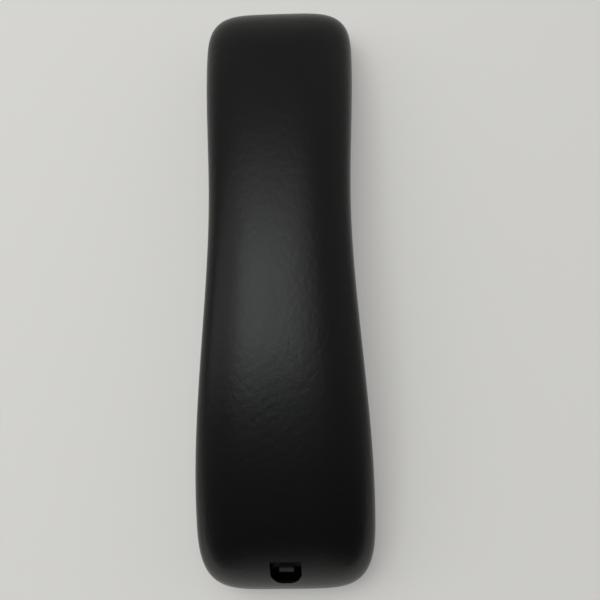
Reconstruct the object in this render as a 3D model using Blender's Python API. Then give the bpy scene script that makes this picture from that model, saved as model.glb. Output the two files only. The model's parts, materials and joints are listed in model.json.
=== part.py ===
"""A desk telephone's handset, lying face down on its ear and mouth faces.

X runs across the handset, +Y towards its ear end and +Z up through its back.
The origin is at the bottom centre of the whole handset. All sizes are in metres.
"""

import math

import bmesh
import bpy
from mathutils import Matrix, Vector

# Whole handset
LENGTH = 0.205
HEIGHT = 0.044
EAR_WIDTH = 0.052
WAIST_WIDTH = 0.0486
MOUTH_WIDTH = 0.0605
WAIST_FROM_EAR_END = 0.075
EAR_REACH = 0.020
MOUTH_REACH = 0.027
ACROSS_POWER = 5.0
ALONG_POWER = 3.2

# Back: its middle line's height at the ends, its crown, and how its edges round over
BACK_END_HEIGHT = 0.027
CROWN = 0.0012
SIDE_POWER = 3.0
EAR_END_POWER = 2.7
MOUTH_END_POWER = 2.4

# Seam between the covers
SEAM_BELOW_BACK = 0.013
SEAM_EAR_END = 0.011
SEAM_MOUTH_END = 0.009
SEAM_GAP = 0.0003

# Underside: the grip between the ear face and the mouth face
GRIP_DEPTH = 0.022
EAR_FACE_LENGTH = 0.0485
EAR_SLOPE_LENGTH = 0.016
MOUTH_FACE_LENGTH = 0.0425
MOUTH_SLOPE_LENGTH = 0.020
FACE_FILLET = 0.007
GRIP_FILLET = 0.014

# Walls and clearances
WALL = 0.0024
LIP = 0.0011
REBATE = 0.0016
FIT = 0.0003
SEAT = 0.0003
POST_WALL = 0.0012

# Receiver, centred in the ear face
RECEIVER_FROM_END = 0.0285
RECEIVER_RADIUS = 0.0166
EAR_DISH_RADIUS = 0.015
EAR_DISH_DEPTH = 0.001
EAR_HOLE_DIAMETER = 0.0018
EAR_HOLE_RINGS = ((1, 0.0), (6, 0.0042), (12, 0.0084))
EAR_CLOTH_RADIUS = 0.011
CLOTH_THICKNESS = 0.0004
GASKET_WIDTH = 0.004
GASKET_HEIGHT = 0.0012
CAP_HEIGHT = 0.0026
CAP_FRONT = 0.0008
CAP_RIM = 0.0016
CAP_HOLE_RADIUS = 0.001
CAP_HOLES_AT = 0.0058
DIAPHRAGM_THICKNESS = 0.0003
DIAPHRAGM_FLANGE = 0.0038
DOME_DEPTH = 0.0014
ROLL_DEPTH = 0.001
COIL_RADIUS = 0.0069
COIL_WALL = 0.0005
COIL_HEIGHT = 0.0032
COIL_GAP = 0.0004
BASKET_FLANGE_HEIGHT = 0.0011
BASKET_FLANGE_WIDTH = 0.0036
BASKET_RELIEF = 0.0005
BASKET_LIP = 0.0007
BASKET_LIP_REACH = 0.0009
BASKET_WALL = 0.0015
BASKET_VENT_RADIUS = 0.0007
POLE_PLATE_HEIGHT = 0.001
MAGNET_HEIGHT = 0.0026
YOKE_WALL = 0.0013
YOKE_BASE = 0.0012
TERMINAL_BOARD = (0.006, 0.0028, 0.0008)
SEAT_RING_HEIGHT = 0.0056
STRAP_WIDTH = 0.007
STRAP_THICKNESS = 0.0016
RETAINER_POST_RADIUS = 0.0025

# Microphone, centred in the mouth face
MICROPHONE_FROM_END = 0.0205
MOUTH_DISH_RADIUS = 0.009
MOUTH_DISH_DEPTH = 0.0006
MOUTH_HOLE_DIAMETER = 0.0012
MOUTH_HOLE_RINGS = ((1, 0.0), (4, 0.0026))
MICROPHONE_CLOTH_RADIUS = 0.003
CAPSULE_RADIUS = 0.0047
CAPSULE_HEIGHT = 0.005
CAPSULE_EDGE = 0.0004
CAPSULE_TERMINALS = 0.003
BOOT_WALL = 0.0012
BOOT_FLOOR = 0.001
BOOT_HOLE_RADIUS = 0.0015
MICROPHONE_BOARD_THICKNESS = 0.0008
POCKET_HEIGHT = 0.006

# Screws: head radius, head height, shank radius and shank length
COVER_SCREW = (0.0028, 0.0020, 0.0015, 0.0110)
BALLAST_SCREW = (0.0027, 0.0019, 0.0015, 0.0110)
SMALL_SCREW = (0.0020, 0.0014, 0.0009, 0.0080)
PILOT_SPARE = 0.001

# Screws' proportions: shares of the head's height, the head's radius and the shank's radius
HEAD_EDGE = 0.3
RECESS_FLOOR = 0.45
RECESS_ARM = 0.55
RECESS_SLOT = 0.16
TIP_WIDTH = 0.3

# Cover screws and ballast bar, in the grip
EAR_SCREW_FROM_SLOPE = 0.002
MOUTH_SCREW_FROM_SLOPE = 0.002
COVER_SCREW_SEAT = 0.002
REAR_POST_RADIUS = 0.0035
BALLAST_CLEARANCE = 0.0016
BALLAST_WIDTH = 0.018
BALLAST_HEIGHT = 0.0075
BALLAST_CHAMFER = 0.0008
BALLAST_SCREW_FROM_END = 0.008
PAD_THICKNESS = 0.001
PAD_WIDTH = 0.015
PAD_FROM_SCREW = 0.0055

# Snap hooks on the front cover and ledges for them on the rear cover
HOOK_FROM_EAR_END = 0.0525
HOOK_FROM_MOUTH_END = 0.0505
HOOK_WIDTH = 0.006
HOOK_STAND = 0.0013
HOOK_THICKNESS = 0.0012
HOOK_BARB = 0.0008
HOOK_TIP = 0.0013
HOOK_FOOT = (-0.003, -0.001)
LEDGE_RISE = 0.0026
LEDGE_HEIGHT = 0.001

# Arched ribs inside the rear cover
RIB_PLACES = (0.060, 0.010, -0.012, -0.0455)
RIB_THICKNESS = 0.0012
RIB_HEIGHT = 0.003
RIB_ANGLES = (0, 15, 30, 45, 58, 70)

# Cord jack and its hole in the rear cover
JACK_BELOW_BACK = 0.01225
PORT_WIDTH = 0.0104
PORT_RISE = 0.0076
PORT_STRAIGHT_RISE = 0.0030
PORT_FROM_END = 0.0032
PORT_CORNER = 0.0040
PORT_GUIDE_WALL = 0.0012
PORT_GUIDE_DROP = 0.0010
JACK_FROM_END = 0.0195
JACK_WIDTH = 0.0102
JACK_DEPTH = 0.0145
JACK_FLOOR = 0.0022
JACK_ROOF = 0.0012
CAVITY_WIDTH = 0.0078
CAVITY_HEIGHT = 0.0060
CAVITY_DEPTH = 0.0120
LATCH_WIDTH = 0.0036
LATCH_HEIGHT = 0.0012
GUIDE_WIDTH = 0.005
GUIDE_THICKNESS = 0.0012
GUIDE_FROM_END = 0.0068
GUIDE_CHAMFER = 0.0004
CONTACT_COUNT = 4
CONTACT_PITCH = 0.00102
CONTACT_DIAMETER = 0.00045
CONTACT_SLOT_WIDTH = 0.0048
CONTACT_RISE = 0.0013
CONTACT_TAIL = 0.0012
CONTACT_TAIL_FROM_BACK = 0.0018
CONTACT_TURN_FROM_FACE = 0.0054
CONTACT_END_FROM_FACE = 0.0103
KEEPER_FROM_FACE = 0.0036
JACK_POST_RADIUS = 0.0008
JACK_POST_SPREAD = 0.0034
JACK_POSTS_FROM_FACE = 0.0032

# Jack's board, on two rails and a post
BOARD_THICKNESS = 0.0012
BOARD_WIDTH = 0.021
BOARD_LENGTH = 0.028
BOARD_BACK_FROM_FACE = 0.004
BOARD_SCREW_FROM_BACK = 0.0065
BOARD_POST_RADIUS = 0.0026
RAIL_SPREAD = 0.018
CAPACITOR = (0.002, 0.00125, 0.001)
CAPACITOR_SPREAD = 0.013

# Leads
LEAD_DIAMETER = 0.0012
LEAD_SPACING = 0.0016
LEAD_RUN_X = 0.013
LEAD_START_X = 0.0076
LEAD_ABOVE_FLOOR = 0.0013
PEG_RADIUS = 0.0007
PEG_HEIGHT = 0.003
PEG_PLACES = (0.020, -0.020)

# Fineness of the shells' outer and inner surfaces, and of round pieces
SIDE_SEGMENTS = (2, 6, 7, 5, 2)
QUARTER_SEGMENTS = 8
CORNER_WEIGHT = 0.030
REAR_ANGLES = (0, 10, 22, 35, 48, 60, 71, 81, 90)
REAR_INNER_ANGLES = (0, 24, 48, 68, 81, 90)
FRONT_STAGES = (0, 1, 1.2, 1.4, 1.6, 1.8, 2)
FRONT_INNER_STAGES = (0, 1, 1.35, 1.7, 2)
FINE_STEPS = 28
ROUND_STEPS = 20
SMALL_STEPS = 12
HOLE_STEPS = 8
MERGE_DISTANCE = 1e-6
FAR = 0.1

HALF_LENGTH = LENGTH / 2
EAR_CENTRE_Y = HALF_LENGTH - EAR_REACH
MOUTH_CENTRE_Y = -HALF_LENGTH + MOUTH_REACH
WAIST_Y = HALF_LENGTH - WAIST_FROM_EAR_END
EAR_FACE_Y = HALF_LENGTH - EAR_FACE_LENGTH
EAR_GRIP_Y = EAR_FACE_Y - EAR_SLOPE_LENGTH
MOUTH_FACE_Y = -HALF_LENGTH + MOUTH_FACE_LENGTH
MOUTH_GRIP_Y = MOUTH_FACE_Y + MOUTH_SLOPE_LENGTH
RECEIVER_Y = HALF_LENGTH - RECEIVER_FROM_END
MICROPHONE_Y = -HALF_LENGTH + MICROPHONE_FROM_END
EAR_SCREW_Y = EAR_GRIP_Y - EAR_SCREW_FROM_SLOPE
MOUTH_SCREW_Y = MOUTH_GRIP_Y + MOUTH_SCREW_FROM_SLOPE
JACK_FACE_Y = -HALF_LENGTH + JACK_FROM_END
JACK_BACK_Y = JACK_FACE_Y + JACK_DEPTH
BOARD_BACK_Y = MOUTH_FACE_Y + BOARD_BACK_FROM_FACE
BOARD_FRONT_Y = BOARD_BACK_Y - BOARD_LENGTH
BOARD_SCREW_Y = BOARD_BACK_Y - BOARD_SCREW_FROM_BACK

# Receiver's heights above the ear face's inner floor
GASKET_TOP = SEAT + GASKET_HEIGHT
CAP_BOTTOM = GASKET_TOP + SEAT
CAP_TOP = CAP_BOTTOM + CAP_HEIGHT
DIAPHRAGM_BOTTOM = CAP_TOP + SEAT
DIAPHRAGM_TOP = DIAPHRAGM_BOTTOM + DIAPHRAGM_THICKNESS
BASKET_BOTTOM = DIAPHRAGM_TOP + SEAT
BASKET_FLANGE_TOP = BASKET_BOTTOM + BASKET_FLANGE_HEIGHT
BASKET_LIP_TOP = BASKET_BOTTOM + BASKET_RELIEF + BASKET_LIP
YOKE_BOTTOM = BASKET_LIP_TOP + SEAT
POLE_PLATE_TOP = YOKE_BOTTOM + POLE_PLATE_HEIGHT
MAGNET_TOP = POLE_PLATE_TOP + SEAT + MAGNET_HEIGHT
YOKE_INSIDE_TOP = MAGNET_TOP + SEAT
YOKE_TOP = YOKE_INSIDE_TOP + YOKE_BASE
STRAP_BOTTOM = YOKE_TOP + SEAT
STRAP_TOP = STRAP_BOTTOM + STRAP_THICKNESS

POLE_PLATE_RADIUS = COIL_RADIUS - COIL_GAP
YOKE_INNER_RADIUS = COIL_RADIUS + COIL_WALL + COIL_GAP
YOKE_RADIUS = YOKE_INNER_RADIUS + YOKE_WALL
BASKET_SEAT_RADIUS = YOKE_RADIUS + FIT
SEAT_RING_RADIUS = RECEIVER_RADIUS + FIT
RETAINER_REACH = SEAT_RING_RADIUS + POST_WALL + SEAT + RETAINER_POST_RADIUS

# Microphone's heights above the mouth face's inner floor
BOOT_INSIDE = SEAT + CLOTH_THICKNESS + SEAT + BOOT_FLOOR
CAPSULE_BOTTOM = BOOT_INSIDE + SEAT
CAPSULE_TOP = CAPSULE_BOTTOM + CAPSULE_HEIGHT
MICROPHONE_BOARD_BOTTOM = CAPSULE_TOP + SEAT
MICROPHONE_BOARD_TOP = MICROPHONE_BOARD_BOTTOM + MICROPHONE_BOARD_THICKNESS
BOOT_TOP = MICROPHONE_BOARD_BOTTOM + SEAT
BOOT_INNER_RADIUS = CAPSULE_RADIUS + FIT
BOOT_RADIUS = BOOT_INNER_RADIUS + BOOT_WALL


def smooth_step(start, end, value):
    """Go from 0 at start to 1 at end, level at both."""
    share = min(max((value - start) / (end - start), 0.0), 1.0)
    return share * share * (3.0 - 2.0 * share)


def half_width(y):
    """Half the handset's width, from the waist out to the ear and the mouth."""
    ear_gain = (EAR_WIDTH - WAIST_WIDTH) * smooth_step(WAIST_Y, EAR_CENTRE_Y, y)
    mouth_gain = (MOUTH_WIDTH - WAIST_WIDTH) * smooth_step(WAIST_Y, MOUTH_CENTRE_Y, y)
    return (WAIST_WIDTH + ear_gain + mouth_gain) / 2


def back_line(y):
    """Height of the back along its middle."""
    return HEIGHT - (HEIGHT - BACK_END_HEIGHT) * (y / HALF_LENGTH) ** 2


# Jack's heights, hung from the back above its face
CAVITY_BOTTOM = back_line(JACK_FACE_Y) - JACK_BELOW_BACK
PORT_TOP = CAVITY_BOTTOM + PORT_RISE
PORT_STRAIGHT_BOTTOM = CAVITY_BOTTOM + PORT_STRAIGHT_RISE
PORT_GUIDE_BOTTOM = CAVITY_BOTTOM - PORT_GUIDE_DROP
JACK_BOTTOM = CAVITY_BOTTOM - JACK_FLOOR
JACK_TOP = CAVITY_BOTTOM + CAVITY_HEIGHT + LATCH_HEIGHT + JACK_ROOF
BOARD_TOP = JACK_BOTTOM - SEAT
BOARD_BOTTOM = BOARD_TOP - BOARD_THICKNESS


def seam_line(y):
    """Height of the seam between the covers."""
    middle_height = HEIGHT - SEAM_BELOW_BACK
    end_height = SEAM_EAR_END if y > 0 else SEAM_MOUTH_END
    return middle_height - (middle_height - end_height) * (y / HALF_LENGTH) ** 2


def grip_share(y):
    """Be 1 along the grip and 0 at the ear and mouth faces."""
    ear_side = 1.0 - smooth_step(EAR_GRIP_Y, EAR_FACE_Y, y)
    mouth_side = 1.0 - smooth_step(MOUTH_GRIP_Y, MOUTH_FACE_Y, y)
    return ear_side * mouth_side


def floor_line(y):
    """Height of the underside along its middle: 0 at both faces, and up under the grip."""
    return (back_line(y) - GRIP_DEPTH) * grip_share(y)


def floor_height(y, inset):
    """Height of the underside's middle line once it is moved in by the inset."""
    step = 0.0005
    slope = (floor_line(y + step) - floor_line(y - step)) / (2 * step)
    return floor_line(y) + inset * math.sqrt(1.0 + slope * slope)


class Station:
    """A place on the outline, with the point of the middle line that it is measured from."""

    def __init__(self, side, spine_y, end=0, angle=0.0):
        self.side = side
        self.spine_y = spine_y
        self.end = end
        self.angle = angle

    def reach(self, inset):
        """The way from the middle line to the outline moved in by the inset."""
        across = self.side * (half_width(self.spine_y) - inset)
        if not self.end:
            return Vector((across, 0.0))
        along = self.end * ((EAR_REACH if self.end > 0 else MOUTH_REACH) - inset)
        across *= math.cos(self.angle) ** (2 / ACROSS_POWER)
        along *= math.sin(self.angle) ** (2 / ALONG_POWER)
        return Vector((across, along))

    def rear_power(self):
        """How squarely the back rounds over here."""
        end_power = EAR_END_POWER if self.end > 0 else MOUTH_END_POWER
        return SIDE_POWER + (end_power - SIDE_POWER) * math.sin(self.angle) ** 2


def quarter_angles(end):
    """Angles that divide a quarter of an end's outline, closer together where it turns more."""
    samples = 400
    spine_y = EAR_CENTRE_Y if end > 0 else MOUTH_CENTRE_Y
    angles = [math.pi / 2 * index / samples for index in range(samples + 1)]
    points = [Station(1, spine_y, end, angle).reach(0.0) for angle in angles]
    steps = [point - previous for previous, point in zip(points, points[1:])]
    shares = [0.0, steps[0].length]
    for previous, step in zip(steps, steps[1:]):
        shares.append(shares[-1] + step.length + CORNER_WEIGHT * previous.angle(step))
    wanted = [shares[-1] * index / QUARTER_SEGMENTS for index in range(1, QUARTER_SEGMENTS)]
    return [angles[next(i for i, share in enumerate(shares) if share >= goal)] for goal in wanted]


def outline_stations():
    """The stations round the whole outline, anticlockwise from the mouth's right."""
    breaks = (MOUTH_CENTRE_Y, MOUTH_FACE_Y, MOUTH_GRIP_Y, EAR_GRIP_Y, EAR_FACE_Y, EAR_CENTRE_Y)
    side_places = [breaks[0]]
    for start, end, count in zip(breaks, breaks[1:], SIDE_SEGMENTS):
        side_places += [start + (end - start) * index / count for index in range(1, count + 1)]
    ear_angles = quarter_angles(1)
    mouth_angles = quarter_angles(-1)
    stations = [Station(1, y) for y in side_places]
    stations += [Station(1, EAR_CENTRE_Y, 1, angle) for angle in ear_angles]
    stations += [Station(0, EAR_CENTRE_Y, 1, math.pi / 2)]
    stations += [Station(-1, EAR_CENTRE_Y, 1, angle) for angle in reversed(ear_angles)]
    stations += [Station(-1, y) for y in reversed(side_places)]
    stations += [Station(-1, MOUTH_CENTRE_Y, -1, angle) for angle in mouth_angles]
    stations += [Station(0, MOUTH_CENTRE_Y, -1, math.pi / 2)]
    stations += [Station(1, MOUTH_CENTRE_Y, -1, angle) for angle in reversed(mouth_angles)]
    return stations


def rear_point(station, degrees, inset, lift):
    """A point of the back: 0 degrees is on its middle line and 90 at its lower edge."""
    angle = math.radians(degrees)
    power = station.rear_power()
    outward = math.sin(angle) ** (2 / power)
    upward = max(math.cos(angle), 0.0) ** (2 / power)
    place = Vector((0.0, station.spine_y)) + station.reach(inset) * outward
    bottom = seam_line(place.y) + lift
    crown = CROWN * (place.x / half_width(place.y)) ** 2
    top = back_line(place.y) - crown - inset
    return Vector((place.x, place.y, bottom + (top - bottom) * upward))


def front_point(station, stage, inset, lift):
    """A point of the underside: stage 0 is on its middle line, 1 where it curves up, 2 at its edge."""
    reach = station.reach(inset)
    fillet = FACE_FILLET + (GRIP_FILLET - FACE_FILLET) * grip_share(station.spine_y) - inset
    flat = 1.0 - fillet / reach.length
    turn = max(stage - 1.0, 0.0) * math.pi / 2
    outward = flat * min(stage, 1.0) + (1.0 - flat) * math.sin(turn)
    place = Vector((0.0, station.spine_y)) + reach * outward
    top = seam_line(place.y) + lift
    drop = (top - floor_height(place.y, inset)) * max(math.cos(turn), 0.0)
    return Vector((place.x, place.y, top - drop))


def edge_point(station, inset, lift):
    """A point at the seam, moved in by the inset and up by the lift."""
    place = Vector((0.0, station.spine_y)) + station.reach(inset)
    return Vector((place.x, place.y, seam_line(place.y) + lift))


def add_mesh(name, shape):
    """Turn a bmesh into an object with clean outward faces."""
    bmesh.ops.remove_doubles(shape, verts=shape.verts, dist=MERGE_DISTANCE)
    bmesh.ops.recalc_face_normals(shape, faces=shape.faces)
    mesh = bpy.data.meshes.new(name)
    shape.to_mesh(mesh)
    shape.free()
    item = bpy.data.objects.new(name, mesh)
    bpy.context.scene.collection.objects.link(item)
    return item


def lofted(name, rings):
    """Join rings of points, each right round the outline, into one closed solid."""
    shape = bmesh.new()
    rows = [[shape.verts.new(point) for point in ring] for ring in rings]
    for lower, upper in zip(rows, rows[1:]):
        for index in range(len(lower)):
            after = (index + 1) % len(lower)
            shape.faces.new((lower[index], lower[after], upper[after], upper[index]))
    return add_mesh(name, shape)


def turned(name, profile, steps, centre=(0.0, 0.0), height=0.0):
    """Spin a profile of (radius, height) points round a vertical axis.

    A profile that starts and ends on the axis is left open there, and any other one is closed.
    """
    shape = bmesh.new()
    axis = Vector((centre[0], centre[1], height))
    points = [shape.verts.new(axis + Vector((radius, 0.0, level))) for radius, level in profile]
    edges = [shape.edges.new(pair) for pair in zip(points, points[1:])]
    if profile[0][0] > 0.0:
        edges.append(shape.edges.new((points[-1], points[0])))
    bmesh.ops.spin(
        shape, geom=points + edges, cent=axis, axis=(0.0, 0.0, 1.0),
        angle=2 * math.pi, steps=steps, use_merge=True)
    return add_mesh(name, shape)


def ring_profile(inner, outer, bottom, top):
    """The section of a plain ring."""
    return [(inner, bottom), (outer, bottom), (outer, top), (inner, top)]


def disc_profile(radius, bottom, top):
    """The section of a plain disc."""
    return [(0.0, bottom), (radius, bottom), (radius, top), (0.0, top)]


def prism(name, outline, plane, start, end):
    """Extrude an outline: plane XY goes along Z, XZ along Y, and YZ along X."""
    place = {
        "XY": lambda first, second, depth: Vector((first, second, depth)),
        "XZ": lambda first, second, depth: Vector((first, depth, second)),
        "YZ": lambda first, second, depth: Vector((depth, first, second)),
    }[plane]
    shape = bmesh.new()
    base = shape.faces.new([shape.verts.new(place(first, second, start)) for first, second in outline])
    grown = bmesh.ops.extrude_face_region(shape, geom=[base])["geom"]
    moved = [item for item in grown if isinstance(item, bmesh.types.BMVert)]
    bmesh.ops.translate(shape, verts=moved, vec=place(0.0, 0.0, end - start))
    return add_mesh(name, shape)


def box(name, x_range, y_range, z_range):
    """A plain box between two corners."""
    outline = [(x_range[0], y_range[0]), (x_range[1], y_range[0]),
               (x_range[1], y_range[1]), (x_range[0], y_range[1])]
    return prism(name, outline, "XY", z_range[0], z_range[1])


def cylinder(name, radius, centre, bottom, top, steps=SMALL_STEPS):
    """An upright cylinder."""
    return turned(name, disc_profile(radius, bottom, top), steps, centre)


def around(centre, radius, count, start=0.0):
    """Points spaced evenly round a circle."""
    angles = [start + 2 * math.pi * index / count for index in range(count)]
    return [(centre[0] + radius * math.cos(a), centre[1] + radius * math.sin(a)) for a in angles]


def hole_places(rings, centre):
    """Centres of the sound holes, ring by ring."""
    return [place for count, radius in rings for place in around(centre, radius, count)]


def combine(target, helper, operation):
    """Join, cut or trim one object by another."""
    modifier = target.modifiers.new("combine", "BOOLEAN")
    modifier.operation = operation
    modifier.object = helper
    evaluated = target.evaluated_get(bpy.context.evaluated_depsgraph_get())
    mesh = bpy.data.meshes.new_from_object(evaluated)
    target.modifiers.remove(modifier)
    mesh.materials.clear()
    target.data = mesh


def drop(helper):
    """Remove a helper that has done its work."""
    bpy.data.objects.remove(helper)


def gather(name, helpers):
    """Put helpers that don't touch into one object, so that one operation takes them all."""
    shape = bmesh.new()
    for helper in helpers:
        shape.from_mesh(helper.data)
        drop(helper)
    return add_mesh(name, shape)


def join(target, helpers):
    """Join helpers that don't touch each other to an object."""
    helper = gather("joined", helpers)
    combine(target, helper, "UNION")
    drop(helper)


def cut(target, helpers):
    """Cut helpers that don't touch each other out of an object."""
    helper = gather("cutter", helpers)
    combine(target, helper, "DIFFERENCE")
    drop(helper)


def trimmed(helpers, core):
    """Keep what lies inside the middle of the handset's walls."""
    helper = gather("trimmed", helpers)
    combine(helper, core, "INTERSECT")
    return helper


def finish(item, color, roughness, metallic=0.0, sharp_angle=35.0):
    """Give a piece its material and smooth shading."""
    material = bpy.data.materials.new(item.name)
    material.use_nodes = True
    surface = material.node_tree.nodes["Principled BSDF"]
    surface.inputs["Base Color"].default_value = (*color, 1.0)
    surface.inputs["Roughness"].default_value = roughness
    surface.inputs["Metallic"].default_value = metallic
    item.data.materials.append(material)
    if item.type == "MESH":
        item.data.shade_smooth()
        item.data.set_sharp_from_angle(angle=math.radians(sharp_angle))
    return item


def unit(name, location):
    """An empty that carries the pieces of one assembly."""
    carrier = bpy.data.objects.new(name, None)
    carrier.location = location
    bpy.context.scene.collection.objects.link(carrier)
    return carrier


def carry(carrier, pieces):
    """Parent pieces, which are modelled round the origin, to their assembly."""
    for piece in pieces:
        piece.parent = carrier


def screw(name, sizes, location, pointing_up):
    """A pan-head screw with a cross recess, its head's seat at the location."""
    head_radius, head_height, shank_radius, shank_length = sizes
    edge = head_height * HEAD_EDGE
    profile = [
        (0.0, -head_height), (head_radius - edge, -head_height), (head_radius, -head_height + edge),
        (head_radius, 0.0), (shank_radius, 0.0), (shank_radius, shank_length - shank_radius),
        (shank_radius * TIP_WIDTH, shank_length), (0.0, shank_length)]
    piece = turned(name, profile, SMALL_STEPS)
    slot = head_radius * RECESS_SLOT
    arm = head_radius * RECESS_ARM
    depth = (-head_height - SEAT, -head_height * RECESS_FLOOR)
    for x_size, y_size in ((arm, slot), (slot, arm)):
        cut(piece, [box("recess", (-x_size, x_size), (-y_size, y_size), depth)])
    turn = Matrix.Identity(4) if pointing_up else Matrix.Rotation(math.pi, 4, "X")
    piece.data.transform(Matrix.Translation(location) @ turn)
    return finish(piece, (0.35, 0.35, 0.36), 0.35, 1.0)


def smooth_route(points, per_span):
    """Points along a smooth curve through the given ones."""
    places = [Vector(point) for point in points]
    places = [places[0] * 2 - places[1], *places, places[-1] * 2 - places[-2]]
    route = []
    for index in range(1, len(places) - 2):
        before, start, end, after = places[index - 1:index + 3]
        for step in range(per_span):
            t = step / per_span
            route.append(0.5 * (
                2 * start + (end - before) * t
                + (2 * before - 5 * start + 4 * end - after) * t ** 2
                + (3 * start - before - 3 * end + after) * t ** 3))
    route.append(places[-2])
    return route


def wire(name, route, diameter, bevel_resolution):
    """A round wire along a route."""
    curve = bpy.data.curves.new(name, "CURVE")
    curve.dimensions = "3D"
    curve.bevel_depth = diameter / 2
    curve.bevel_resolution = bevel_resolution
    curve.use_fill_caps = True
    curve.render_resolution_u = 0
    spline = curve.splines.new("POLY")
    spline.points.add(len(route) - 1)
    for point, place in zip(spline.points, route):
        point.co = (*place, 1.0)
    item = bpy.data.objects.new(name, curve)
    bpy.context.scene.collection.objects.link(item)
    return item


def make_core(stations):
    """The solid inside the middle of all walls, which trims what stands on them."""
    middle = WALL / 2
    rings = [[rear_point(s, angle, middle, 0.0) for s in stations] for angle in REAR_INNER_ANGLES]
    rings += [[front_point(s, stage, middle, -SEAM_GAP) for s in stations]
              for stage in reversed(FRONT_INNER_STAGES)]
    core = lofted("wall_middle", rings)
    core.hide_render = True
    core.display_type = "WIRE"
    return core


def rear_shell(stations):
    """The rear cover's bare shell, with the lip that laps over the front cover's tongue."""
    gap = SEAM_GAP / 2
    rings = [[rear_point(s, angle, 0.0, gap) for s in stations] for angle in REAR_ANGLES]
    rings.append([edge_point(s, LIP, gap) for s in stations])
    rings.append([edge_point(s, LIP, REBATE) for s in stations])
    rings += [[rear_point(s, angle, WALL, REBATE) for s in stations]
              for angle in reversed(REAR_INNER_ANGLES)]
    return lofted("rear_cover", rings)


def front_shell(stations):
    """The front cover's bare shell, with the tongue that stands up inside the rear cover's lip."""
    gap = -SEAM_GAP / 2
    tongue = LIP + FIT
    tongue_top = REBATE - FIT
    rings = [[front_point(s, stage, 0.0, gap) for s in stations] for stage in FRONT_STAGES]
    rings.append([edge_point(s, tongue, gap) for s in stations])
    rings.append([edge_point(s, tongue, tongue_top) for s in stations])
    rings.append([edge_point(s, WALL, tongue_top) for s in stations])
    rings += [[front_point(s, stage, WALL, gap) for s in stations]
              for stage in reversed(FRONT_INNER_STAGES)]
    return lofted("front_cover", rings)


def side_outline(side, y, outline):
    """Turn (inset, rise) points at a place of the seam into x and z."""
    edge = half_width(y)
    seam = seam_line(y)
    return [(side * (edge - inset), seam + rise) for inset, rise in outline]


def hook_places():
    """Sides and places of the four snap hooks."""
    rows = (HALF_LENGTH - HOOK_FROM_EAR_END, -HALF_LENGTH + HOOK_FROM_MOUTH_END)
    return [(side, y) for side in (-1, 1) for y in rows]


def snap_hook(side, y):
    """A springy tab on the front cover, with a barb that catches on the rear cover's ledge."""
    outer = WALL + HOOK_STAND
    inner = outer + HOOK_THICKNESS
    in_wall = WALL / 6
    catch = LEDGE_RISE + LEDGE_HEIGHT + FIT
    top = catch + HOOK_TIP
    foot_bottom, foot_top = HOOK_FOOT
    outline = [(in_wall, foot_bottom), (inner, foot_bottom), (inner, top), (outer, top),
               (outer - HOOK_BARB, catch), (outer, catch), (outer, foot_top), (in_wall, foot_top)]
    half = HOOK_WIDTH / 2
    return prism("hook", side_outline(side, y, outline), "XZ", y - half, y + half)


def snap_ledge(side, y):
    """The ledge on the rear cover under a hook's barb."""
    in_wall = WALL / 6
    reach = WALL + HOOK_STAND - FIT
    top = LEDGE_RISE + LEDGE_HEIGHT
    outline = [(in_wall, LEDGE_RISE), (reach, LEDGE_RISE), (reach, top), (in_wall, top)]
    half = HOOK_WIDTH / 2
    return prism("ledge", side_outline(side, y, outline), "XZ", y - half, y + half)


def arch_rib(y):
    """A rib that follows the inside of the back."""
    outer_inset = WALL / 2
    inner_inset = WALL + RIB_HEIGHT
    outline = []
    for inset, turn in ((outer_inset, 1), (inner_inset, -1)):
        left = [rear_point(Station(-1, y), angle, inset, REBATE) for angle in reversed(RIB_ANGLES)]
        right = [rear_point(Station(1, y), angle, inset, REBATE) for angle in RIB_ANGLES[1:]]
        outline += [(point.x, point.z) for point in (left + right)[::turn]]
    half = RIB_THICKNESS / 2
    return prism("rib", outline, "XZ", y - half, y + half)


def cover_screw_places():
    """The two cover screws' places on the middle line."""
    return (("cover_screw_ear", EAR_SCREW_Y), ("cover_screw_mouth", MOUTH_SCREW_Y))


def ballast_range():
    """Where the ballast bar starts and ends between the cover screws' posts."""
    spare = COVER_SCREW[0] + FIT + POST_WALL + BALLAST_CLEARANCE
    return (MOUTH_SCREW_Y + spare, EAR_SCREW_Y - spare)


def ballast_screw_places():
    """The two ballast screws' places on the middle line."""
    start, end = ballast_range()
    return (("ballast_screw_ear", end - BALLAST_SCREW_FROM_END),
            ("ballast_screw_mouth", start + BALLAST_SCREW_FROM_END))


def ballast_bottom():
    """Height of the ballast bar's underside, on its pad."""
    return floor_height(0.0, WALL) + SEAT + PAD_THICKNESS + SEAT


def rounded_port(half, near_end, far_end, corner):
    """The jack hole's outline seen from above, rounded towards the handset's end."""
    outline = [(half, far_end), (-half, far_end)]
    for side, start in ((-1, math.pi), (1, 1.5 * math.pi)):
        for step in range(5):
            angle = start + math.pi / 2 * step / 4
            outline.append((side * (half - corner) + corner * math.cos(angle),
                            near_end + corner + corner * math.sin(angle)))
    return outline


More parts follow.
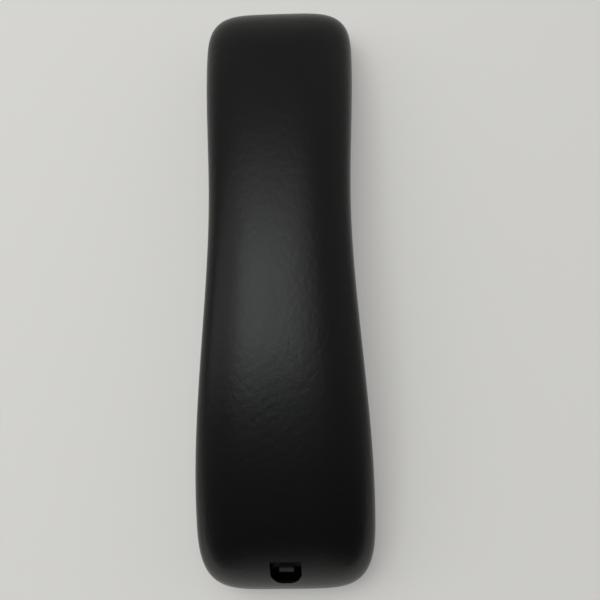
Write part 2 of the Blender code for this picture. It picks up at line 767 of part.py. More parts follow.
def make_rear_cover(stations, core):
    """The long back shell, with its posts, ribs, ledges and the jack's hole."""
    cover = rear_shell(stations)
    top = HEIGHT + FAR
    posts = [cylinder("post", REAR_POST_RADIUS, (0.0, y), seam_line(y) + SEAM_GAP / 2, top)
             for name, y in cover_screw_places()]
    ballast_top = ballast_bottom() + BALLAST_HEIGHT
    posts += [cylinder("post", REAR_POST_RADIUS, (0.0, y), ballast_top + SEAT, top)
              for name, y in ballast_screw_places()]
    ledges = [snap_ledge(side, y) for side, y in hook_places()]
    ribs = [arch_rib(y) for y in RIB_PLACES]
    guide_inner = PORT_WIDTH / 2 + SEAT
    guide_outer = guide_inner + PORT_GUIDE_WALL
    guides = [box("guide", sorted((side * guide_inner, side * guide_outer)),
                  (-HALF_LENGTH, JACK_FACE_Y - SEAT), (PORT_GUIDE_BOTTOM, top)) for side in (-1, 1)]
    keeper_inner = CONTACT_SLOT_WIDTH / 2 + SEAT
    keeper_outer = keeper_inner + POST_WALL
    keepers = [box("keeper", sorted((side * keeper_inner, side * keeper_outer)),
                   (JACK_FACE_Y + KEEPER_FROM_FACE, JACK_BACK_Y), (JACK_TOP + SEAT, top))
               for side in (-1, 1)]
    standing = trimmed(posts + ledges + ribs + guides + keepers, core)
    combine(cover, standing, "UNION")
    drop(standing)

    half = PORT_WIDTH / 2
    end = -HALF_LENGTH + PORT_FROM_END
    outline = rounded_port(half, end, JACK_FACE_Y, PORT_CORNER)
    hole_bottom = seam_line(end) + REBATE + WALL
    cut(cover, [prism("port", outline, "XY", hole_bottom, PORT_TOP)])
    cut(cover, [box("plug_way", (-half, half), (-HALF_LENGTH - FAR, JACK_FACE_Y),
                    (PORT_STRAIGHT_BOTTOM, PORT_TOP))])

    pilots = []
    for name, y in cover_screw_places():
        depth = COVER_SCREW[3] - COVER_SCREW_SEAT + PILOT_SPARE
        bottom = seam_line(y)
        pilots.append(cylinder("pilot", COVER_SCREW[2] + FIT, (0.0, y),
                               bottom - PILOT_SPARE, bottom + depth, HOLE_STEPS))
    for name, y in ballast_screw_places():
        tip = ballast_bottom() + BALLAST_SCREW[1] + SEAT + BALLAST_SCREW[3] + PILOT_SPARE / 2
        pilots.append(cylinder("pilot", BALLAST_SCREW[2] + FIT, (0.0, y),
                               ballast_top - PILOT_SPARE, tip, HOLE_STEPS))
    cut(cover, pilots)
    return finish(cover, (0.018, 0.018, 0.020), 0.55)


def dish(centre, radius, depth, steps):
    """A cutter for a shallow round dish in the face below."""
    sphere = (radius ** 2 + depth ** 2) / (2 * depth)
    profile = [(0.0, -depth), (radius, -depth), (radius, 0.0)]
    rows = 4
    for row in range(1, rows + 1):
        r = radius * (1 - row / rows)
        profile.append((r, math.sqrt(sphere ** 2 - r ** 2) - sphere + depth))
    return turned("dish", profile, steps, centre)


def make_front_cover(stations, core):
    """The grip's underside with the ear and mouth faces, and all that stands on its inside."""
    cover = front_shell(stations)
    receiver = (0.0, RECEIVER_Y)
    microphone = (0.0, MICROPHONE_Y)

    ring_outer = SEAT_RING_RADIUS + POST_WALL
    pocket_inner = BOOT_RADIUS + FIT
    standing = [
        turned("seat_ring", ring_profile(SEAT_RING_RADIUS, ring_outer, 0.0, WALL + SEAT_RING_HEIGHT),
               FINE_STEPS, receiver),
        turned("pocket", ring_profile(pocket_inner, pocket_inner + POST_WALL, 0.0, WALL + POCKET_HEIGHT),
               ROUND_STEPS, microphone),
        cylinder("board_post", BOARD_POST_RADIUS, (0.0, BOARD_SCREW_Y), 0.0, BOARD_BOTTOM - SEAT)]
    standing += [cylinder("retainer_post", RETAINER_POST_RADIUS, place, 0.0, WALL + STRAP_BOTTOM - SEAT)
                 for place in retainer_places(receiver)]
    for side in (-1, 1):
        middle = side * RAIL_SPREAD / 2
        half = POST_WALL / 2
        standing.append(box("rail", (middle - half, middle + half),
                            (BOARD_FRONT_Y, MOUTH_FACE_Y), (0.0, BOARD_BOTTOM - SEAT)))
    for name, y in cover_screw_places():
        standing.append(cylinder("post", COVER_SCREW[0] + FIT + POST_WALL, (0.0, y),
                                 0.0, seam_line(y) - SEAM_GAP / 2, ROUND_STEPS))
    for y in PEG_PLACES:
        for side in (-1, 1):
            x = LEAD_RUN_X + side * (LEAD_SPACING / 2 + LEAD_DIAMETER / 2 + SEAT + PEG_RADIUS)
            standing.append(cylinder("peg", PEG_RADIUS, (x, y), 0.0,
                                     floor_height(y, WALL) + PEG_HEIGHT, HOLE_STEPS))
    standing += [snap_hook(side, y) for side, y in hook_places()]
    helper = trimmed(standing, core)
    combine(cover, helper, "UNION")
    drop(helper)

    cut(cover, [dish(receiver, EAR_DISH_RADIUS, EAR_DISH_DEPTH, FINE_STEPS),
                dish(microphone, MOUTH_DISH_RADIUS, MOUTH_DISH_DEPTH, ROUND_STEPS)])
    holes = [cylinder("hole", EAR_HOLE_DIAMETER / 2, place, -WALL, 2 * WALL, HOLE_STEPS)
             for place in hole_places(EAR_HOLE_RINGS, receiver)]
    holes += [cylinder("hole", MOUTH_HOLE_DIAMETER / 2, place, -WALL, 2 * WALL, HOLE_STEPS)
              for place in hole_places(MOUTH_HOLE_RINGS, microphone)]
    for name, y in cover_screw_places():
        seat_top = seam_line(y) - SEAM_GAP / 2
        holes.append(stepped_hole(y, COVER_SCREW, seat_top - COVER_SCREW_SEAT, seat_top + PILOT_SPARE))
    small_pilot = SMALL_SCREW[2] + FIT
    small_depth = SMALL_SCREW[3] + PILOT_SPARE
    strap_seat = WALL + STRAP_TOP + SEAT
    holes += [cylinder("pilot", small_pilot, place, strap_seat - small_depth,
                       strap_seat + PILOT_SPARE, HOLE_STEPS) for place in retainer_places(receiver)]
    board_seat = BOARD_TOP + SEAT
    holes.append(cylinder("pilot", small_pilot, (0.0, BOARD_SCREW_Y), board_seat - small_depth,
                          board_seat + PILOT_SPARE, HOLE_STEPS))
    cut(cover, holes)
    return finish(cover, (0.018, 0.018, 0.020), 0.55)


def stepped_hole(y, screw_sizes, seat, top):
    """A cutter for a screw's counterbore from below, and its clearance hole above the seat."""
    head_radius, head_height, shank_radius, shank_length = screw_sizes
    profile = [(0.0, -FIT), (head_radius + FIT, -FIT), (head_radius + FIT, seat),
               (shank_radius + FIT, seat), (shank_radius + FIT, top), (0.0, top)]
    return turned("counterbore", profile, SMALL_STEPS, (0.0, y))


def retainer_places(centre):
    """The two retainer screws' places, on a diagonal of the receiver."""
    return around(centre, RETAINER_REACH, 2, math.radians(45))


def make_cover_screws():
    """The two screws that hold the covers together, from below."""
    return [screw(name, COVER_SCREW, (0.0, y, seam_line(y) - SEAM_GAP / 2 - COVER_SCREW_SEAT - SEAT), True)
            for name, y in cover_screw_places()]


def make_ballast():
    """The steel bar in the grip, its pad and its two screws."""
    start, end = ballast_range()
    bottom = ballast_bottom()
    top = bottom + BALLAST_HEIGHT
    half = BALLAST_WIDTH / 2
    outline = [(half - BALLAST_CHAMFER, bottom), (half, bottom + BALLAST_CHAMFER),
               (half, top - BALLAST_CHAMFER), (half - BALLAST_CHAMFER, top)]
    outline += [(-x, z) for x, z in reversed(outline)]
    bar = prism("ballast_bar", outline, "XZ", start, end)
    places = ballast_screw_places()
    seat = bottom + BALLAST_SCREW[1] + SEAT
    cut(bar, [stepped_hole(y, BALLAST_SCREW, seat, top + PILOT_SPARE) for name, y in places])
    finish(bar, (0.33, 0.33, 0.34), 0.45, 1.0)

    ear_screw_y, mouth_screw_y = places[0][1], places[1][1]
    pad = box("ballast_pad", (-PAD_WIDTH / 2, PAD_WIDTH / 2),
              (mouth_screw_y + PAD_FROM_SCREW, ear_screw_y - PAD_FROM_SCREW),
              (bottom - SEAT - PAD_THICKNESS, bottom - SEAT))
    finish(pad, (0.06, 0.06, 0.065), 0.95)
    for name, y in places:
        screw(name, BALLAST_SCREW, (0.0, y, seat - SEAT), True)


def diaphragm_profile():
    """A thin dome inside a rolled edge, with a flat flange round it."""
    flange = RECEIVER_RADIUS - FIT - DIAPHRAGM_FLANGE
    coil_outer = COIL_RADIUS + COIL_WALL
    line = [(COIL_RADIUS * step / 2, -DOME_DEPTH * (1 - (step / 2) ** 2)) for step in range(3)]
    line.append((coil_outer, 0.0))
    for step in range(1, 5):
        line.append((coil_outer + (flange - coil_outer) * step / 4,
                     -ROLL_DEPTH * math.sin(math.pi * step / 4)))
    line.append((RECEIVER_RADIUS - FIT, 0.0))
    lower = [(r, DIAPHRAGM_BOTTOM + z) for r, z in line]
    upper = [(r, DIAPHRAGM_TOP + z) for r, z in reversed(line)]
    return lower + upper


def basket_profile():
    """The basket's flange, its cone and the seat that holds the yoke."""
    relief = BASKET_BOTTOM + BASKET_RELIEF
    lip = BASKET_SEAT_RADIUS - BASKET_LIP_REACH
    seat_outer = BASKET_SEAT_RADIUS + BASKET_WALL
    flange_inner = RECEIVER_RADIUS - BASKET_FLANGE_WIDTH
    top = YOKE_TOP - YOKE_BASE
    return [
        (flange_inner, BASKET_BOTTOM), (RECEIVER_RADIUS, BASKET_BOTTOM),
        (RECEIVER_RADIUS, BASKET_FLANGE_TOP), (flange_inner, BASKET_FLANGE_TOP),
        (seat_outer, BASKET_FLANGE_TOP + (flange_inner - seat_outer)), (seat_outer, top),
        (BASKET_SEAT_RADIUS, top), (BASKET_SEAT_RADIUS, BASKET_LIP_TOP),
        (lip, BASKET_LIP_TOP), (lip, relief), (flange_inner - BASKET_RELIEF, relief)]


def make_receiver():
    """The receiver, from its cloth up to the strap that holds it down."""
    carrier = unit("receiver_unit", (0.0, RECEIVER_Y, WALL))
    centre = (0.0, 0.0)
    gasket_outer = RECEIVER_RADIUS - FIT / 2
    steel = (0.40, 0.40, 0.41)

    cloth = turned("ear_cloth", disc_profile(EAR_CLOTH_RADIUS, SEAT, SEAT + CLOTH_THICKNESS), ROUND_STEPS)
    finish(cloth, (0.02, 0.02, 0.02), 0.95)
    gasket = turned("receiver_gasket",
                    ring_profile(gasket_outer - GASKET_WIDTH, gasket_outer, SEAT, GASKET_TOP), ROUND_STEPS)
    finish(gasket, (0.03, 0.03, 0.03), 0.9)

    rim = RECEIVER_RADIUS - CAP_RIM
    floor = CAP_BOTTOM + CAP_FRONT
    cap = turned("receiver_cap", [(0.0, CAP_BOTTOM), (RECEIVER_RADIUS, CAP_BOTTOM),
                                  (RECEIVER_RADIUS, CAP_TOP), (rim, CAP_TOP), (rim, floor), (0.0, floor)],
                 ROUND_STEPS)
    cut(cap, [cylinder("hole", CAP_HOLE_RADIUS, place, 0.0, floor + CAP_FRONT, HOLE_STEPS)
              for place in [centre, *around(centre, CAP_HOLES_AT, 6)]])
    finish(cap, (0.05, 0.05, 0.055), 0.5)

    diaphragm = turned("receiver_diaphragm", diaphragm_profile(), ROUND_STEPS)
    finish(diaphragm, (0.55, 0.50, 0.38), 0.35)
    coil_bottom = DIAPHRAGM_TOP + SEAT
    coil_ring = ring_profile(COIL_RADIUS, COIL_RADIUS + COIL_WALL, coil_bottom, coil_bottom + COIL_HEIGHT)
    coil = turned("receiver_voice_coil", coil_ring, ROUND_STEPS)
    finish(coil, (0.55, 0.22, 0.08), 0.35, 1.0)

    basket = turned("receiver_basket", basket_profile(), ROUND_STEPS)
    vents_at = (BASKET_SEAT_RADIUS + BASKET_WALL + RECEIVER_RADIUS - BASKET_FLANGE_WIDTH) / 2
    cut(basket, [cylinder("vent", BASKET_VENT_RADIUS, place, 0.0, YOKE_TOP, HOLE_STEPS)
                 for place in around(centre, vents_at, 4, math.radians(45))])
    finish(basket, (0.06, 0.06, 0.06), 0.5)

    plate = turned("receiver_pole_plate", disc_profile(POLE_PLATE_RADIUS, YOKE_BOTTOM, POLE_PLATE_TOP),
                   ROUND_STEPS)
    finish(plate, steel, 0.4, 1.0)
    magnet = turned("receiver_magnet",
                    disc_profile(POLE_PLATE_RADIUS - FIT, POLE_PLATE_TOP + SEAT, MAGNET_TOP), ROUND_STEPS)
    finish(magnet, (0.45, 0.45, 0.46), 0.3, 1.0)
    yoke_edge = YOKE_BASE / 3
    yoke = turned("receiver_yoke", [
        (0.0, YOKE_INSIDE_TOP), (YOKE_INNER_RADIUS, YOKE_INSIDE_TOP), (YOKE_INNER_RADIUS, YOKE_BOTTOM),
        (YOKE_RADIUS, YOKE_BOTTOM), (YOKE_RADIUS, YOKE_TOP - yoke_edge),
        (YOKE_RADIUS - yoke_edge, YOKE_TOP), (0.0, YOKE_TOP)], ROUND_STEPS)
    finish(yoke, steel, 0.4, 1.0)

    board_x, board_y, board_z = TERMINAL_BOARD
    board_middle = -(RECEIVER_RADIUS - BASKET_FLANGE_WIDTH / 2)
    board_bottom = BASKET_FLANGE_TOP + SEAT
    board = box("receiver_terminal_board", (-board_x / 2, board_x / 2),
                (board_middle - board_y / 2, board_middle + board_y / 2),
                (board_bottom, board_bottom + board_z))
    finish(board, (0.05, 0.16, 0.08), 0.5)

    strap = strap_blank()
    through = (STRAP_BOTTOM - SEAT, STRAP_TOP + SEAT)
    cut(strap, [cylinder("hole", SMALL_SCREW[2] + FIT, place, *through, HOLE_STEPS)
                for place in retainer_places(centre)])
    finish(strap, (0.35, 0.35, 0.36), 0.4, 1.0)
    screws = [screw(f"retainer_screw_{number}", SMALL_SCREW, (*place, STRAP_TOP + SEAT), False)
              for number, place in enumerate(retainer_places(centre), start=1)]
    carry(carrier, [cloth, gasket, cap, diaphragm, coil, basket, plate, magnet, yoke, board, strap])
    carry(carrier, screws)


def strap_blank():
    """A strip with round ends, across the receiver from screw to screw."""
    outline = []
    half = STRAP_WIDTH / 2
    for place, start in zip(retainer_places((0.0, 0.0)), (-45, 135)):
        for step in range(7):
            angle = math.radians(start + 180 * step / 6)
            outline.append((place[0] + half * math.cos(angle), place[1] + half * math.sin(angle)))
    return prism("receiver_retainer", outline, "XY", STRAP_BOTTOM, STRAP_TOP)


def make_microphone():
    """The microphone capsule in its rubber boot."""
    carrier = unit("microphone_unit", (0.0, MICROPHONE_Y, WALL))
    cloth_top = SEAT + CLOTH_THICKNESS
    cloth = turned("microphone_cloth", disc_profile(MICROPHONE_CLOTH_RADIUS, SEAT, cloth_top), SMALL_STEPS)
    finish(cloth, (0.02, 0.02, 0.02), 0.95)

    recess = MICROPHONE_CLOTH_RADIUS + FIT
    boot = turned("microphone_boot", [
        (BOOT_HOLE_RADIUS, cloth_top + SEAT), (recess, cloth_top + SEAT), (recess, SEAT),
        (BOOT_RADIUS, SEAT), (BOOT_RADIUS, BOOT_TOP), (BOOT_INNER_RADIUS, BOOT_TOP),
        (BOOT_INNER_RADIUS, BOOT_INSIDE), (BOOT_HOLE_RADIUS, BOOT_INSIDE)], ROUND_STEPS)
    finish(boot, (0.025, 0.025, 0.025), 0.85)

    capsule = turned("microphone_capsule", [
        (0.0, CAPSULE_BOTTOM), (CAPSULE_RADIUS - CAPSULE_EDGE, CAPSULE_BOTTOM),
        (CAPSULE_RADIUS, CAPSULE_BOTTOM + CAPSULE_EDGE), (CAPSULE_RADIUS, CAPSULE_TOP),
        (0.0, CAPSULE_TOP)], ROUND_STEPS)
    finish(capsule, (0.60, 0.60, 0.61), 0.3, 1.0)
    board = turned("microphone_board",
                   disc_profile(CAPSULE_RADIUS - FIT, MICROPHONE_BOARD_BOTTOM, MICROPHONE_BOARD_TOP),
                   ROUND_STEPS)
    finish(board, (0.05, 0.16, 0.08), 0.5)
    carry(carrier, [cloth, boot, capsule, board])


def make_jack():
    """The socket for the cord's plug, with its latch slot above and four springs below."""
    half = JACK_WIDTH / 2
    housing = box("jack_housing", (-half, half), (JACK_FACE_Y, JACK_BACK_Y), (JACK_BOTTOM, JACK_TOP))
    guide_top = CAVITY_BOTTOM
    guide_half = GUIDE_WIDTH / 2
    guide_end = -HALF_LENGTH + GUIDE_FROM_END
    guide_bottom = guide_top - GUIDE_THICKNESS
    guide_root = JACK_FACE_Y + JACK_FLOOR
    guide_outline = [(guide_end, guide_bottom), (guide_root, guide_bottom), (guide_root, guide_top),
                     (guide_end + GUIDE_CHAMFER, guide_top), (guide_end, guide_top - GUIDE_CHAMFER)]
    join(housing, [prism("guide", guide_outline, "YZ", -guide_half, guide_half)])
    post_top = JACK_BOTTOM + JACK_FLOOR / 2
    join(housing, [cylinder("post", JACK_POST_RADIUS, place, BOARD_BOTTOM - SEAT, post_top, HOLE_STEPS)
                   for place in jack_post_places()])

    cavity_half = CAVITY_WIDTH / 2
    cavity_top = CAVITY_BOTTOM + CAVITY_HEIGHT
    cavity_back = JACK_FACE_Y + CAVITY_DEPTH
    before = JACK_FACE_Y - SEAT
    cut(housing, [box("cavity", (-cavity_half, cavity_half), (before, cavity_back),
                      (CAVITY_BOTTOM, cavity_top))])
    latch_half = LATCH_WIDTH / 2
    cut(housing, [box("latch", (-latch_half, latch_half), (before, cavity_back),
                      (cavity_top - SEAT, cavity_top + LATCH_HEIGHT))])
    slot_half = CONTACT_SLOT_WIDTH / 2
    cut(housing, [box("contact_slot", (-slot_half, slot_half),
                      (JACK_FACE_Y + CAVITY_DEPTH / 3, JACK_BACK_Y + SEAT),
                      (JACK_BOTTOM - SEAT, CAVITY_BOTTOM + CONTACT_RISE / 2))])
    finish(housing, (0.03, 0.03, 0.032), 0.35)

    for number in range(1, CONTACT_COUNT + 1):
        x = (number - (CONTACT_COUNT + 1) / 2) * CONTACT_PITCH
        contact = wire(f"jack_contact_{number}", contact_route(x), CONTACT_DIAMETER, 1)
        finish(contact, (0.80, 0.58, 0.22), 0.25, 1.0)


def jack_post_places():
    """The two locating posts under the jack."""
    y = JACK_FACE_Y + JACK_POSTS_FROM_FACE
    return [(side * JACK_POST_SPREAD, y) for side in (-1, 1)]


def contact_tail_y():
    """Where the contacts go through the board."""
    return JACK_BACK_Y - CONTACT_TAIL_FROM_BACK


def contact_route(x):
    """A spring contact: up from the board, forward under the plug's way and back over itself."""
    tail_y = contact_tail_y()
    front_y = JACK_FACE_Y + CONTACT_TURN_FROM_FACE
    low = (JACK_BOTTOM + CAVITY_BOTTOM) / 2
    free_y = JACK_FACE_Y + CONTACT_END_FROM_FACE
    points = [
        (x, tail_y, BOARD_BOTTOM - CONTACT_TAIL), (x, tail_y, BOARD_TOP), (x, tail_y - 0.0006, low),
        (x, (tail_y + front_y) / 2, low + 0.0001), (x, front_y + 0.0006, low + 0.0002),
        (x, front_y, low + 0.0008), (x, front_y + 0.0010, low + 0.0013),
        (x, free_y, CAVITY_BOTTOM + CONTACT_RISE)]
    return smooth_route(points, 2)


def make_jack_board():
    """The jack's board with its screw and two chip capacitors."""
    half = BOARD_WIDTH / 2
    board = box("jack_board", (-half, half), (BOARD_FRONT_Y, BOARD_BACK_Y), (BOARD_BOTTOM, BOARD_TOP))
    through = (BOARD_BOTTOM - SEAT, BOARD_TOP + SEAT)
    holes = [cylinder("hole", SMALL_SCREW[2] + FIT, (0.0, BOARD_SCREW_Y), *through, HOLE_STEPS)]
    holes += [cylinder("hole", JACK_POST_RADIUS + FIT, place, *through, HOLE_STEPS)
              for place in jack_post_places()]
    slot = (CONTACT_COUNT - 1) * CONTACT_PITCH / 2 + CONTACT_DIAMETER / 2 + FIT
    slot_depth = CONTACT_DIAMETER / 2 + FIT
    tail_y = contact_tail_y()
    holes.append(box("slot", (-slot, slot), (tail_y - slot_depth, tail_y + slot_depth), through))
    cut(board, holes)
    finish(board, (0.05, 0.16, 0.08), 0.5)
    screw("board_screw", SMALL_SCREW, (0.0, BOARD_SCREW_Y, BOARD_TOP + SEAT), False)

    size_x, size_y, size_z = CAPACITOR
    bottom = BOARD_TOP + SEAT
    for number, side in enumerate((-1, 1), start=1):
        x = side * CAPACITOR_SPREAD / 2
        chip = box(f"board_capacitor_{number}", (x - size_x / 2, x + size_x / 2),
                   (BOARD_SCREW_Y - size_y / 2, BOARD_SCREW_Y + size_y / 2), (bottom, bottom + size_z))
        finish(chip, (0.45, 0.36, 0.24), 0.5)


def receiver_lead_route(offset):
    """From the jack's board along the grip's floor and down to the receiver's terminals."""
    x = LEAD_RUN_X + offset
    start_x = LEAD_START_X + offset
    spread = offset * 2
    end_y = RECEIVER_Y - (RECEIVER_RADIUS - BASKET_FLANGE_WIDTH / 2)
    end_z = WALL + BASKET_FLANGE_TOP + SEAT + TERMINAL_BOARD[2] + SEAT
    start_y = BOARD_BACK_Y - BOARD_SCREW_FROM_BACK / 2
    mouth_y = MOUTH_GRIP_Y
    points = [(start_x, start_y, BOARD_TOP + SEAT), (start_x, start_y + 0.0005, BOARD_TOP + 0.0025),
              (start_x + 0.0015, start_y + 0.0045, BOARD_TOP + 0.0048),
              (x - 0.001, mouth_y - 0.005, floor_height(mouth_y, WALL) + 0.0016)]
    stretch = EAR_GRIP_Y - mouth_y
    for step in range(6):
        y = mouth_y + stretch * step / 5
        points.append((x, y, floor_height(y, WALL) + LEAD_ABOVE_FLOOR))
    slope_top = floor_height(EAR_GRIP_Y, WALL)
    points += [
        (x - 0.0008, EAR_GRIP_Y + 0.006, slope_top - 0.0008),
        (LEAD_RUN_X - 0.0036 + spread, EAR_FACE_Y - 0.0035, slope_top - 0.0075),
        (LEAD_RUN_X - 0.0086 + spread, EAR_FACE_Y + 0.001, end_z + 0.0035),
        (spread, end_y - 0.0012, end_z + 0.0022), (spread, end_y, end_z)]
    return smooth_route(points, 2)


def microphone_lead_route(side):
    """From the microphone's board, under the jack's board and round its back edge to its top."""
    start_x = side * CAPSULE_TERMINALS / 2
    x = side * (BOARD_POST_RADIUS + SEAT + LEAD_DIAMETER)
    start_z = WALL + MICROPHONE_BOARD_TOP + SEAT
    run_z = (start_z + BOARD_BOTTOM) / 2
    back = BOARD_BACK_Y + LEAD_DIAMETER * 1.5
    points = [
        (start_x, MICROPHONE_Y, start_z), (start_x, MICROPHONE_Y + 0.0006, run_z - 0.0003),
        (x, MICROPHONE_Y + 0.007, run_z), (x, BOARD_SCREW_Y, run_z),
        (x, BOARD_BACK_Y - 0.0005, run_z + 0.0002), (x, back, BOARD_BOTTOM),
        (x, back - 0.0002, BOARD_TOP + 0.0008), (x, BOARD_BACK_Y - 0.0008, BOARD_TOP + 0.0022),
        (x, BOARD_BACK_Y - 0.0024, BOARD_TOP + SEAT)]
    return smooth_route(points, 2)


def make_leads():
    """The receiver's and the microphone's leads."""
    half = LEAD_SPACING / 2
    leads = [
        ("receiver_lead_red", receiver_lead_route(-half), (0.35, 0.02, 0.02)),
        ("receiver_lead_black", receiver_lead_route(half), (0.015, 0.015, 0.015)),
        ("microphone_lead_white", microphone_lead_route(-1), (0.60, 0.60, 0.58)),
        ("microphone_lead_green", microphone_lead_route(1), (0.03, 0.22, 0.06))]
    for name, route, color in leads:
        finish(wire(name, route, LEAD_DIAMETER, 2), color, 0.45)


def main():
    """Build the whole handset."""
    for item in list(bpy.data.objects):
        bpy.data.objects.remove(item)
    stations = outline_stations()
    core = make_core(stations)
    make_rear_cover(stations, core)
    make_front_cover(stations, core)
    drop(core)
    make_cover_screws()
    make_ballast()
    make_receiver()
    make_microphone()
    make_jack()
    make_jack_board()
    make_leads()


main()
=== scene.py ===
"""Looks of a desk telephone's handset, lying face down on its ear and mouth faces.

X runs across the handset, +Y towards its ear end and +Z up through its back, in metres.
"""

import json
import math

import bmesh
import bpy
from mathutils import Matrix, Vector


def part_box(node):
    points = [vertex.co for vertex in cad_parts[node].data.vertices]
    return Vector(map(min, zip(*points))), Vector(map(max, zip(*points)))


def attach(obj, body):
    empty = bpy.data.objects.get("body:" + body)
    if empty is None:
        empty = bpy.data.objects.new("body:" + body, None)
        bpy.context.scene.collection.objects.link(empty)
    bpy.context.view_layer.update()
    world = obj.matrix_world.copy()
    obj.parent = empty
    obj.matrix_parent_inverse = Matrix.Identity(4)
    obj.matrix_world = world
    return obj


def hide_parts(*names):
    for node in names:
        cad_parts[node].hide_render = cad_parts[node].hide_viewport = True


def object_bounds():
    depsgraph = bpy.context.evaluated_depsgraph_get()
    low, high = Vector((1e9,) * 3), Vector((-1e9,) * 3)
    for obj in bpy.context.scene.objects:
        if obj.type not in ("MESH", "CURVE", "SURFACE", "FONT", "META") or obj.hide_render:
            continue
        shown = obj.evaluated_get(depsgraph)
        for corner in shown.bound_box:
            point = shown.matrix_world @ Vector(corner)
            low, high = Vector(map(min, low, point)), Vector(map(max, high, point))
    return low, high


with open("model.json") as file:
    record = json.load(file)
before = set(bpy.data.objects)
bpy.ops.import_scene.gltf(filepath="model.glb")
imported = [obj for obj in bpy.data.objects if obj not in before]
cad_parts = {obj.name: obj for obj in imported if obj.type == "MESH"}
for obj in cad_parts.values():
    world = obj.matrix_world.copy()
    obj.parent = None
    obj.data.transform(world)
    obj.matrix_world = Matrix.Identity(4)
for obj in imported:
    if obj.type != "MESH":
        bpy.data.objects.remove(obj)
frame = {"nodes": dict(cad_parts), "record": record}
cad_low, cad_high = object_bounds()

# Sizes that the covers' surfaces follow, which are the inputs of their node trees
SHAPE = {
    "Length": 0.205,
    "Height": 0.044,
    "Ear Width": 0.052,
    "Waist Width": 0.0486,
    "Mouth Width": 0.0605,
    "Waist From Ear End": 0.075,
    "Ear Reach": 0.020,
    "Mouth Reach": 0.027,
    "Across Power": 5.0,
    "Along Power": 3.2,
    "Back End Height": 0.027,
    "Crown": 0.0012,
    "Side Power": 3.0,
    "Ear End Power": 2.7,
    "Mouth End Power": 2.4,
    "Seam Below Back": 0.013,
    "Seam Ear End": 0.011,
    "Seam Mouth End": 0.009,
    "Half Seam Gap": 0.00015,
    "Grip Depth": 0.022,
    "Ear Face Length": 0.0485,
    "Ear Slope Length": 0.016,
    "Mouth Face Length": 0.0425,
    "Mouth Slope Length": 0.020,
    "Face Fillet": 0.007,
    "Grip Fillet": 0.014,
    "Skin": 0.0008,
    "Skin Overlap": 0.0005,
    "Edge Radius": 0.00025,
    "Clearance": 0.00005,
    "Front Reach": 0.012,
}

# Fineness of the covers' surfaces
ALONG_SEGMENTS = 300
SIDE_SHARE = 0.6
REAR_ROWS = 44
FLAT_ROWS = 12
TURN_ROWS = 18
INNER_ROWS = 14
LID_ROWS = 6
LID_STAGE = 0.9
EDGE_STEPS = 4
MERGE_DISTANCE = 1e-6
SHARP_ANGLE = 35.0
WIRE_ANGLE = 75.0

# How the pieces inside are refined: spun anew, or with small bevels
TURNED_STEPS = 96
SAME_PLANE_ANGLE = 1e-3
MOSTLY_ALONG = 0.9
FLAT_EDGE_ANGLE = 2.0
BEVEL_ANGLE = 40.0
BEVEL_SEGMENTS = 2

# Jack's hole, from the frame: the jack's face, and the plug's way through the end
PORT_WIDTH = 0.0104
PORT_CORNER = 0.0040
PORT_CORNER_STEPS = 12
PORT_FROM_END = 0.0032
PORT_TOP_ABOVE_CAVITY = 0.0076
PORT_STRAIGHT_ABOVE_CAVITY = 0.0030
PORT_DROP = 0.004
PORT_SPARE = 0.0005
JACK_FROM_END = 0.0195
JACK_ABOVE_CAVITY = 0.0084
CUT_SPARE = 0.00003

# Sound holes: their rings as (count, radius), their widths and the dishes that they lie in
EAR_RINGS = ((1, 0.0), (6, 0.0042), (12, 0.0084))
EAR_HOLE = 0.0018
EAR_DISH = (0.015, 0.001)
MOUTH_RINGS = ((1, 0.0), (4, 0.0026))
MOUTH_HOLE = 0.0012
MOUTH_DISH = (0.009, 0.0006)
HOLE_CHAMFER = 0.00025
HOLE_STEPS = 32
PIN_ROWS = 3
DISH_ROWS = 10
DISH_STEPS = 96
WALL = 0.0024

# Screws: head radius, head height, shank radius, shank length and thread pitch
COVER_SCREW = (0.0028, 0.0020, 0.0015, 0.0110, 0.0009)
BALLAST_SCREW = (0.0027, 0.0019, 0.0015, 0.0110, 0.0009)
SMALL_SCREW = (0.0020, 0.0014, 0.0009, 0.0080, 0.0006)
COUNTERBORE_SPARE = 0.0003
HEAD_ROWS = 10
THREAD_ROWS = 96
FADE_ROWS = 6
SCREW_STEPS = 36
HEAD_POWER = 3.6
TIP_TAPER = 0.7
THREAD_SHARE = 0.2
RECESS_SHARES = (0.52, 0.3, 0.45)

# Camera and framing
CAMERA_AZIMUTH = 13.8
CAMERA_ELEVATION = 82.0
CAMERA_DISTANCE = 0.35
CAMERA_ROLL = -14.9
CAMERA_TARGET = (0.0060, -0.0036, 0.020)
FOCAL_PIXELS = 1005.4
IMAGE_PIXELS = 600.0
CLIP_RANGE = (0.01, 20.0)

# Finishes of the covers and the jack, with a painted highlight on the tip of the jack's guide, where it
# catches the light
COVER_COLOR = (0.0043, 0.0043, 0.0043)
COVER_ROUGHNESS = 0.31
COVER_GLOSS = 0.20
JACK_COLOR = (0.0050, 0.0050, 0.0052)
JACK_GLOSS = 0.03
# Colour, length and fade of the painted highlight on the guide's tip
TIP_HIGHLIGHT_COLOR = (0.040, 0.040, 0.040)
TIP_HIGHLIGHT_LENGTH = 0.0017
TIP_HIGHLIGHT_FADE = 0.0005

# Table top, and its glow for camera and mirrored rays, which grows beyond the mouth end
FLOOR_REACH = 3.0
FLOOR_DROP = 0.0001
FLOOR_ROUGHNESS = 0.6
FLOOR_COLOR = (0.474, 0.464, 0.448)
FLOOR_GLOW = (0.222, 0.219, 0.213)
END_GLOW = 2.15
END_GLOW_FROM = 0.105
END_GLOW_OVER = 0.04

